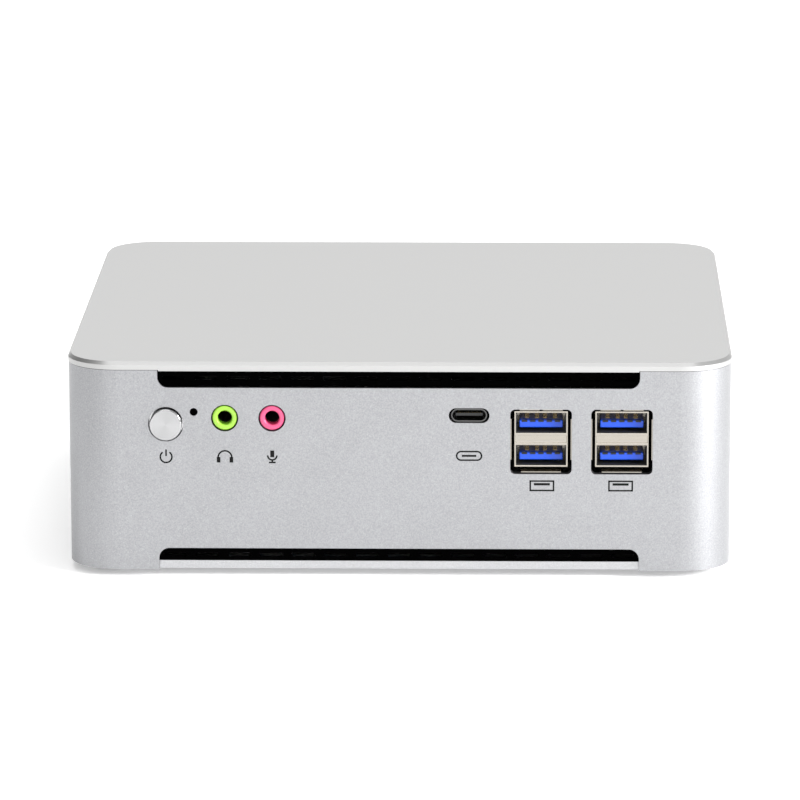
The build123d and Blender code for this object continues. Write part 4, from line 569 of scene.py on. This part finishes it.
low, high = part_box("front_usb_shells")
port_z = low.z + 1.2 * mm + port_height / 2
front_groups = [[], [], [], [], []]
for x in (low.x + 7.5 * mm, high.x - 7.5 * mm):
    for group, made in zip(front_groups, double_port(x, low.y, port_z, 1)):
        group += made
settle_ports("front", front_groups, "front_double_port_shells", blue)

low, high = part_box("rear_usb_shells")
rear_groups = double_port((low.x + high.x) / 2, high.y, port_z, -1)
settle_ports("rear", rear_groups, "rear_double_port_shell", black_plastic)

# ---- Printed marks ----
# Small pictures in black ink under the controls: a power sign, a headset, a microphone, a small round
# port and two flat ports. Each is a thin film on the front wall.
ink, tree, shader = new_material("black ink", (0.004, 0.004, 0.004), 0.7, Specular_IOR_Level=0.1)
spot = node(tree, "TexCoord").outputs["Object"]
cover = node(tree, "TexNoise", {"Vector": spot, "Scale": 2500.0, "Detail": 2.0})
shade = node(tree, "MapRange", {"Value": cover.outputs[0], "To Min": 0.002, "To Max": 0.012})
tree.links.new(shade.outputs[0], shader.inputs["Base Color"])
set_bump(tree, shader, cover.outputs[0], 0.2, 0.005 * mm)
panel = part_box("case_frame")[0].y
film = 0.012 * mm


def bar(x, z, width, height):
    """A straight stroke of ink."""
    stroke = block((0, 0, 0), (width, film, height))
    round_edges(stroke, film / 4, 1)
    stroke.matrix_world = Matrix.Translation((x, panel - film / 2, z))
    return stroke


def arc(x, z, radius, width, start, end):
    """A round stroke of ink from one angle to another, clockwise from the top."""
    deselect()
    bpy.ops.mesh.primitive_plane_add(size=1, location=(radius, 0, 0))
    stroke = bpy.context.object
    stroke.scale = (width, film, 1)
    bpy.ops.object.transform_apply(location=True, rotation=False, scale=True)
    bpy.ops.object.mode_set(mode="EDIT")
    bpy.ops.mesh.select_all(action="SELECT")
    bpy.ops.mesh.spin(steps=40, angle=math.radians(start - end), center=(0, 0, 0), axis=(0, 1, 0))
    bpy.ops.mesh.select_all(action="SELECT")
    bpy.ops.mesh.remove_doubles(threshold=0.0005 * mm)
    bpy.ops.mesh.normals_make_consistent(inside=False)
    bpy.ops.object.mode_set(mode="OBJECT")
    turned = Matrix.Rotation(math.radians(start - 90), 4, "Y")
    stroke.matrix_world = Matrix.Translation((x, panel - film / 2, z)) @ turned
    return stroke


def at_column(node_name):
    """The X of the middle of a node."""
    left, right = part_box(node_name)
    return (left.x + right.x) / 2


line = 0.4 * mm
mark_z = 31.0 * mm
power_x = at_column("power_button")
power_mark = [
    arc(power_x, mark_z - 0.1 * mm, 1.45 * mm, line, 35, 325),
    bar(power_x, mark_z + 0.95 * mm, line, 1.7 * mm),
]
head_x = at_column("green_jack_barrel")
head_mark = [arc(head_x, mark_z - 0.2 * mm, 1.7 * mm, line, -90, 90)]
for side in (-1, 1):
    head_mark.append(bar(head_x + side * 1.6 * mm, mark_z - 0.8 * mm, 0.9 * mm, 1.4 * mm))
voice_x = at_column("pink_jack_barrel")
voice_mark = [
    bar(voice_x, mark_z + 0.75 * mm, 1.0 * mm, 1.7 * mm),
    arc(voice_x, mark_z + 0.35 * mm, 1.15 * mm, line, 90, 270),
    bar(voice_x, mark_z - 1.1 * mm, line, 0.7 * mm),
    bar(voice_x, mark_z - 1.45 * mm, 1.7 * mm, line),
]
small_x = at_column("type_c_shell")
small_z = 31.4 * mm
small_mark = [bar(small_x, small_z, 3.6 * mm, 0.5 * mm)]
for side in (-1, 1):
    small_mark.append(bar(small_x, small_z + side * 1.1 * mm, 4.0 * mm, line))
    half_ring = (90 * side - 90, 90 * side + 90)
    small_mark.append(arc(small_x + side * 2.0 * mm, small_z, 1.1 * mm, line, *half_ring))
flat_marks = []
flat_z = 23.8 * mm
low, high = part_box("front_usb_shells")
for x in (low.x + 7.75 * mm, high.x - 7.75 * mm):
    flat_marks.append(bar(x, flat_z + 0.4 * mm, 4.0 * mm, 0.6 * mm))
    for side in (-1, 1):
        flat_marks.append(bar(x, flat_z + side * 1.2 * mm, 6.2 * mm, line))
        flat_marks.append(bar(x + side * 2.9 * mm, flat_z, line, 2.8 * mm))
for label, marks in (
    ("power", power_mark),
    ("headset", head_mark),
    ("microphone", voice_mark),
    ("small_port", small_mark),
    ("flat_port", flat_marks),
):
    settle(join(marks), f"printed_{label}_mark", ink)

# ---- Rear ports ----
# Nickel shells for the network jacks and video ports, a black power inlet, and gilt aerial jacks whose
# thread is a fine wave in the surface. Inside each mouth are its contacts.
thread, tree, shader = new_material("gilt thread", (0.80, 0.60, 0.26), 0.22, 1.0)
spot = node(tree, "TexCoord").outputs["Object"]
along = node(tree, "SeparateXYZ", {0: spot})
turns = node(tree, "Math", {0: along.outputs["Y"], 1: 9000.0}, operation="MULTIPLY")
wave = node(tree, "Math", {0: turns.outputs[0]}, operation="SINE")
worn = node(tree, "TexNoise", {"Vector": spot, "Scale": 400.0, "Detail": 3.0})
dull = node(tree, "MapRange", {"Value": worn.outputs[0], "To Min": 0.15, "To Max": 0.35})
tree.links.new(dull.outputs[0], shader.inputs["Roughness"])
set_bump(tree, shader, wave.outputs[0], 0.5, 0.1 * mm)
dress(thread, "aerial_jacks")
dress(bronze, "aerial_nuts")
dress(nickel, "network_jacks", "video_port_shells")
dress(black_plastic, "video_port_tongues", "power_inlet")

low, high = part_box("network_jacks")
lamp_green = skin("green lamp lens", (0.05, 0.42, 0.10), 0.2, grain_size=200.0, spread=0.05, bump=0.03)
lamp_amber = skin("amber lamp lens", (0.75, 0.35, 0.03), 0.2, grain_size=200.0, spread=0.05, bump=0.03)
plug_z = 36.55 * mm
lining = 0.12 * mm
wires, greens, ambers, linings = [], [], [], []
for column in (low.x + 8.1 * mm, high.x - 8.1 * mm):
    for count in range(8):
        wire = block((0, 0, 0), (0.35 * mm, 9.5 * mm, 0.35 * mm))
        place = Matrix.Translation((column + (count - 3.5) * 1.02 * mm, high.y - 9.0 * mm, 38.6 * mm))
        wire.matrix_world = place @ Matrix.Rotation(math.radians(14), 4, "X")
        wires.append(wire)
    for side, lamps in ((-1, greens), (1, ambers)):
        lamp_place = (column + side * 4.6 * mm, high.y + 0.05 * mm, 31.3 * mm)
        lens = block(lamp_place, (2.6 * mm, 0.18 * mm, 1.4 * mm))
        round_edges(lens, 0.06 * mm)
        lamps.append(lens)
        upright = (column + side * 5.82 * mm, high.y - 8.8 * mm, plug_z)
        level = (column, high.y - 8.8 * mm, plug_z + side * 3.92 * mm)
        linings.append(block(upright, (lining, 16 * mm, 7.8 * mm)))
        linings.append(block(level, (11.6 * mm, 16 * mm, lining)))
    linings.append(block((column, high.y - 16.6 * mm, plug_z), (11.4 * mm, 0.3 * mm, 7.6 * mm)))
settle(join(wires), "network_jack_wires", bronze)
settle(join(greens), "network_link_lamps", lamp_green)
settle(join(ambers), "network_traffic_lamps", lamp_amber)
settle(join(linings), "network_jack_linings", black_plastic)

low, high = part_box("video_port_tongues")
middle_z = (low.z + high.z) / 2
pads = []
for column in (low.x + 6.85 * mm, high.x - 6.85 * mm):
    for side in (-1, 1):
        for count in range(9):
            place = (column + (count - 4) * mm, high.y - 2.6 * mm, middle_z + side * 0.62 * mm)
            pads.append(block(place, (0.5 * mm, 4.0 * mm, 0.05 * mm)))
settle(join(pads), "video_port_pads", bronze)

low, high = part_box("power_inlet")
root = ((low.x + high.x) / 2, high.y - 8.6 * mm, 37.8 * mm)
post = tube(root, 1.27 * mm, 0.5 * mm, 7.0 * mm, 0.12 * mm)
settle(post, "power_inlet_pin_sleeve", nickel)

# ---- Main board ----
# A black glass-fibre laminate. Copper tracks run under the lacquer as faint raised lines, and their
# solder pads are bright. Chips, coils, capacitors and rows of tiny parts are soldered to its underside.
traces, given, out = new_group(
    "copper tracks",
    [("Pitch", "Float", 900.0), ("Amount", "Float", 0.5)],
    [("Lines", "Float"), ("Pads", "Float")],
)
spot = node(traces, "TexCoord").outputs["Object"]
bends = node(traces, "TexVoronoi", {"Vector": spot, "Scale": 70.0}, distance="CHEBYCHEV")
turned = node(traces, "SeparateColor", {"Color": bends.outputs["Color"]})
axes = node(traces, "SeparateXYZ", {0: spot})
pick = node(traces, "Math", {0: turned.outputs[0], 1: 0.5}, operation="GREATER_THAN")
across = node(traces, "Mix", {"Factor": pick.outputs[0], "A": axes.outputs["X"], "B": axes.outputs["Y"]})
scaled = node(traces, "Math", {0: across.outputs[0], 1: given["Pitch"]}, operation="MULTIPLY")
part = node(traces, "Math", {0: scaled.outputs[0]}, operation="FRACT")
line_mask = node(traces, "Math", {0: part.outputs[0], 1: 0.45}, operation="LESS_THAN")
busy = node(traces, "Math", {0: turned.outputs[1], 1: given["Amount"]}, operation="LESS_THAN")
drawn = node(traces, "Math", {0: line_mask.outputs[0], 1: busy.outputs[0]}, operation="MULTIPLY")
dots = node(traces, "TexVoronoi", {"Vector": spot, "Scale": 260.0})
pad = node(traces, "Math", {0: dots.outputs["Distance"], 1: 0.12}, operation="LESS_THAN")
traces.links.new(drawn.outputs[0], out.inputs["Lines"])
traces.links.new(pad.outputs[0], out.inputs["Pads"])


def blend(tree, factor, first, second):
    """The first colour where the factor is 0 and the second where it is 1."""
    return node(tree, "MixRGB", {"Fac": factor, "Color1": first, "Color2": second}).outputs[0]


def laminate(name, lacquer, track, pitch=900.0, layers=None, chip=(0.012, 0.012, 0.013)):
    """Lacquered board with tracks. Between the two heights in `layers` it is board, and beyond, chips."""
    material, tree, shader = new_material(name, lacquer, 0.35)
    copper = place_group(tree, traces, {"Pitch": pitch, "Amount": 0.55})
    finish = blend(tree, copper["Lines"], (*lacquer, 1), (*track, 1))
    finish = blend(tree, copper["Pads"], finish, (0.72, 0.70, 0.66, 1))
    metal = copper["Pads"]
    if layers:
        height = node(tree, "SeparateXYZ", {0: node(tree, "TexCoord").outputs["Object"]})
        middle, reach = (layers[0] + layers[1]) / 2, (layers[1] - layers[0]) / 2 + 0.02 * mm
        board = node(tree, "Math", {0: height.outputs["Z"], 1: middle, 2: reach}, operation="COMPARE")
        finish = blend(tree, board.outputs[0], (*chip, 1), finish)
        metal = node(tree, "Math", {0: board.outputs[0], 1: metal}, operation="MULTIPLY").outputs[0]
    tree.links.new(finish, shader.inputs["Base Color"])
    tree.links.new(metal, shader.inputs["Metallic"])
    set_bump(tree, shader, copper["Lines"], 0.4, 0.03 * mm)
    return material


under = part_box("main_board")[0].z
dress(laminate("black laminate", (0.010, 0.011, 0.012), (0.022, 0.024, 0.026)), "main_board")
ferrite = skin("ferrite", (0.05, 0.05, 0.052), 0.55, grain_size=700.0, spread=0.3, bump=0.4)
can = skin("capacitor can", (0.66, 0.66, 0.67), 0.28, 1.0, grain_size=500.0)
dress(ferrite, "chokes")
dress(can, "capacitors")

chip = block((0, 0, 0), (9 * mm, 9 * mm, 1.1 * mm))
bpy.ops.object.mode_set(mode="EDIT")
bpy.ops.mesh.select_all(action="SELECT")
bpy.ops.mesh.bisect(plane_co=(0, 0, 0), plane_no=(0, 0, 1))
bpy.ops.object.mode_set(mode="OBJECT")
round_edges(chip, 0.12 * mm)
legs = []
for side in range(4):
    for count in range(12):
        leg = block(((count - 5.5) * 0.65 * mm, 4.9 * mm, 0.35 * mm), (0.28 * mm, 0.9 * mm, 0.3 * mm))
        leg.matrix_world = Matrix.Rotation(side * math.pi / 2, 4, "Z") @ leg.matrix_world
        legs.append(leg)
legs = join(legs)


def repeat(source, places):
    """Copies of a piece at these places, each with its own mesh. The first one is removed."""
    copies = []
    for place in places:
        copy = source.copy()
        copy.data = source.data.copy()
        scene.collection.objects.link(copy)
        copy.matrix_world = place
        copies.append(copy)
    bpy.data.objects.remove(source)
    return copies


chip_places = [
    Matrix.Translation((x * mm, y * mm, under - 0.56 * mm))
    for x, y in ((-12, 44), (4, 44), (20, 45), (36, 45), (-14, -68), (2, -68))
]
settle(join(repeat(chip, chip_places)), "board_chips", black_plastic)
settle(join(repeat(legs, chip_places)), "board_chip_legs", zinc)

# ---- Standoffs and screws ----
# Hexagon pillars turned from brass carry the board under the top cover. The screws inside are zinc
# plated, with domed or flat heads.
brass = skin("turned brass", (0.74, 0.55, 0.22), 0.28, 1.0, grain_size=500.0, spread=0.2)
dress(brass, "board_standoffs", "card_posts")
dress(zinc, "board_screws", "card_screws", "sink_screws", "fan_screws")

# ---- Processor and heat sink ----
# The processor is a green laminate with a nickel lid. The heat sink on it is one piece of drawn
# aluminium, with long draw lines along its fins, and a black steel plate backs it across the board.
def drawn_noise(tree, spot, scale):
    """Noise that is drawn out into lines along the axis with the smallest scale."""
    stretch = node(tree, "Mapping", {"Vector": spot, "Scale": scale})
    return node(tree, "TexNoise", {"Vector": stretch.outputs[0], "Detail": 3.0}).outputs[0]


lid_steel = (0.55, 0.54, 0.52)
substrate_green = (0.02, 0.11, 0.04)
substrate_thickness = 1.25 * mm
lid, tree, shader = new_material("processor lid", lid_steel, 0.24, 1.0)
spot = node(tree, "TexCoord").outputs["Object"]
height = node(tree, "SeparateXYZ", {0: spot}).outputs["Z"]
board_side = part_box("processor")[1].z - substrate_thickness
substrate = node(tree, "Math", {0: height, 1: board_side}, operation="GREATER_THAN").outputs[0]
tree.links.new(blend(tree, substrate, (*lid_steel, 1), (*substrate_green, 1)), shader.inputs["Base Color"])
metal = node(tree, "Math", {0: 1.0, 1: substrate}, operation="SUBTRACT")
tree.links.new(metal.outputs[0], shader.inputs["Metallic"])
set_bump(tree, shader, drawn_noise(tree, spot, (900, 40, 40)), 0.2, 0.01 * mm)
dress(lid, "processor")

drawn_metal, tree, shader = new_material("drawn aluminium", (0.62, 0.63, 0.64), 0.32, 1.0)
spot = node(tree, "TexCoord").outputs["Object"]
lines = drawn_noise(tree, spot, (1500, 20, 1500))
tone = node(tree, "MapRange", {"Value": lines, "To Min": 0.5, "To Max": 0.74})
rough = node(tree, "MapRange", {"Value": lines, "To Min": 0.24, "To Max": 0.42})
tree.links.new(tone.outputs[0], shader.inputs["Base Color"])
tree.links.new(rough.outputs[0], shader.inputs["Roughness"])
set_bump(tree, shader, lines, 0.3, 0.02 * mm)
dress(drawn_metal, "heat_sink")
dress(black_zinc, "sink_backplate")

# ---- Fan ----
# Glass-filled black moulding, a little streaky, for the housing and the rotor. Its lead ends in a white
# plug on a white header.
glass_black = (0.016, 0.016, 0.017)
glass_filled = skin("glass-filled moulding", glass_black, 0.5, grain_size=350.0, spread=0.35, bump=0.3)
dress(glass_filled, "fan_housing", "fan_rotor")
dress(black_plastic, "fan_lead", "cell_holder")
dress(nylon, "fan_header", "fan_plug")
low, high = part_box("fan_rotor")
hub = (low + high) / 2
deselect()
bpy.ops.mesh.primitive_cylinder_add(
    vertices=64, radius=10.5 * mm, depth=0.1 * mm, location=(hub.x, hub.y, low.z - 0.05 * mm)
)
label = bpy.context.object
round_edges(label, 0.03 * mm, 2)
bpy.ops.object.shade_smooth_by_angle(angle=math.radians(35))
paper, tree, shader = new_material("silver label", (0.62, 0.62, 0.63), 0.35, 0.6)
spot = node(tree, "TexCoord").outputs["Object"]
centred = node(tree, "Mapping", {"Vector": spot, "Location": (-hub.x, -hub.y, 0)})
axes = node(tree, "SeparateXYZ", {0: centred.outputs[0]})
flat = node(tree, "CombineXYZ", {0: axes.outputs["X"], 1: axes.outputs["Y"]})
reach = node(tree, "VectorMath", {0: flat.outputs[0]}, operation="LENGTH")
band = node(tree, "Math", {0: reach.outputs["Value"], 1: 8.6 * mm, 2: 0.35 * mm}, operation="COMPARE")
print_tone = node(tree, "MapRange", {"Value": band.outputs[0], "To Min": 0.62, "To Max": 0.03})
tree.links.new(print_tone.outputs[0], shader.inputs["Base Color"])
settle(label, "fan_label", paper, body="fan_rotor")

# ---- Memory ----
# Two green cards with black chips on both sides, in black sockets. Small steel latches hold them.
for name in ("front", "rear"):
    low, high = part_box(f"{name}_memory_card")
    layers = (low.z + 1.0 * mm, high.z - 1.0 * mm)
    card = laminate(f"{name} card laminate", (0.008, 0.10, 0.035), (0.02, 0.17, 0.06), 1500.0, layers)
    dress(card, f"{name}_memory_card")
    dress(black_plastic, f"{name}_memory_socket")
    dress(nickel, f"{name}_memory_latch_left", f"{name}_memory_latch_right")

# ---- Plug-in cards ----
# The solid-state drive is a blue card and the wireless card a black one. Each has one end in a brown
# socket and the other under a screw. Two thin black leads run from the wireless card to the aerial jacks.
for name, lacquer, track, package in (
    ("solid_state_drive", (0.01, 0.04, 0.16), (0.02, 0.08, 0.26), (0.012, 0.012, 0.013)),
    ("wireless_card", (0.012, 0.013, 0.014), (0.03, 0.032, 0.034), (0.45, 0.45, 0.46)),
):
    low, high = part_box(name)
    card = laminate(f"{name} laminate", lacquer, track, 1700.0, (high.z - 0.8 * mm, high.z), package)
    dress(card, name)
dress(skin("brown socket", (0.10, 0.05, 0.03), 0.45), "solid_state_drive_socket", "wireless_card_socket")
dress(black_plastic, "left_aerial_lead", "right_aerial_lead")
cell_steel = skin("stainless cell", (0.60, 0.60, 0.59), 0.22, 1.0, grain_size=300.0, spread=0.2)
dress(cell_steel, "coin_cell")

# ---- Tiny parts ----
# Rows of chip resistors and capacitors round the processor and the cards: a ceramic body with a tinned
# cap at each end, modelled once and copied.
ceramic = skin("tan ceramic", (0.30, 0.21, 0.12), 0.4, grain_size=1500.0)
tin = skin("tin caps", (0.58, 0.58, 0.57), 0.3, 1.0, grain_size=1500.0)
body = block((0, 0, 0), (1.2 * mm, 0.95 * mm, 0.6 * mm))
round_edges(body, 0.08 * mm, 1)
ends = join([block((side * 0.78 * mm, 0, 0), (0.4 * mm, 1.0 * mm, 0.64 * mm)) for side in (-1, 1)])
round_edges(ends, 0.08 * mm, 1)
rows = [(x, 34.5, 0) for x in range(20, 44, 3)]
rows += [(x, -37.0, 0) for x in range(22, 60, 3)]
rows += [(5.0, y, 90) for y in range(-20, 8, 3)]
rows += [(28.0, y, 90) for y in range(38, 54, 3)]
rows += [(x, -60.5, 0) for x in range(-26, 10, 3)]
places = []
for x, y, turn in rows:
    place = Matrix.Translation((x * mm, y * mm, under - 0.32 * mm))
    places.append(place @ Matrix.Rotation(math.radians(turn), 4, "Z"))
settle(join(repeat(body, places)), "tiny_part_bodies", ceramic)
settle(join(repeat(ends, places)), "tiny_part_caps", tin)
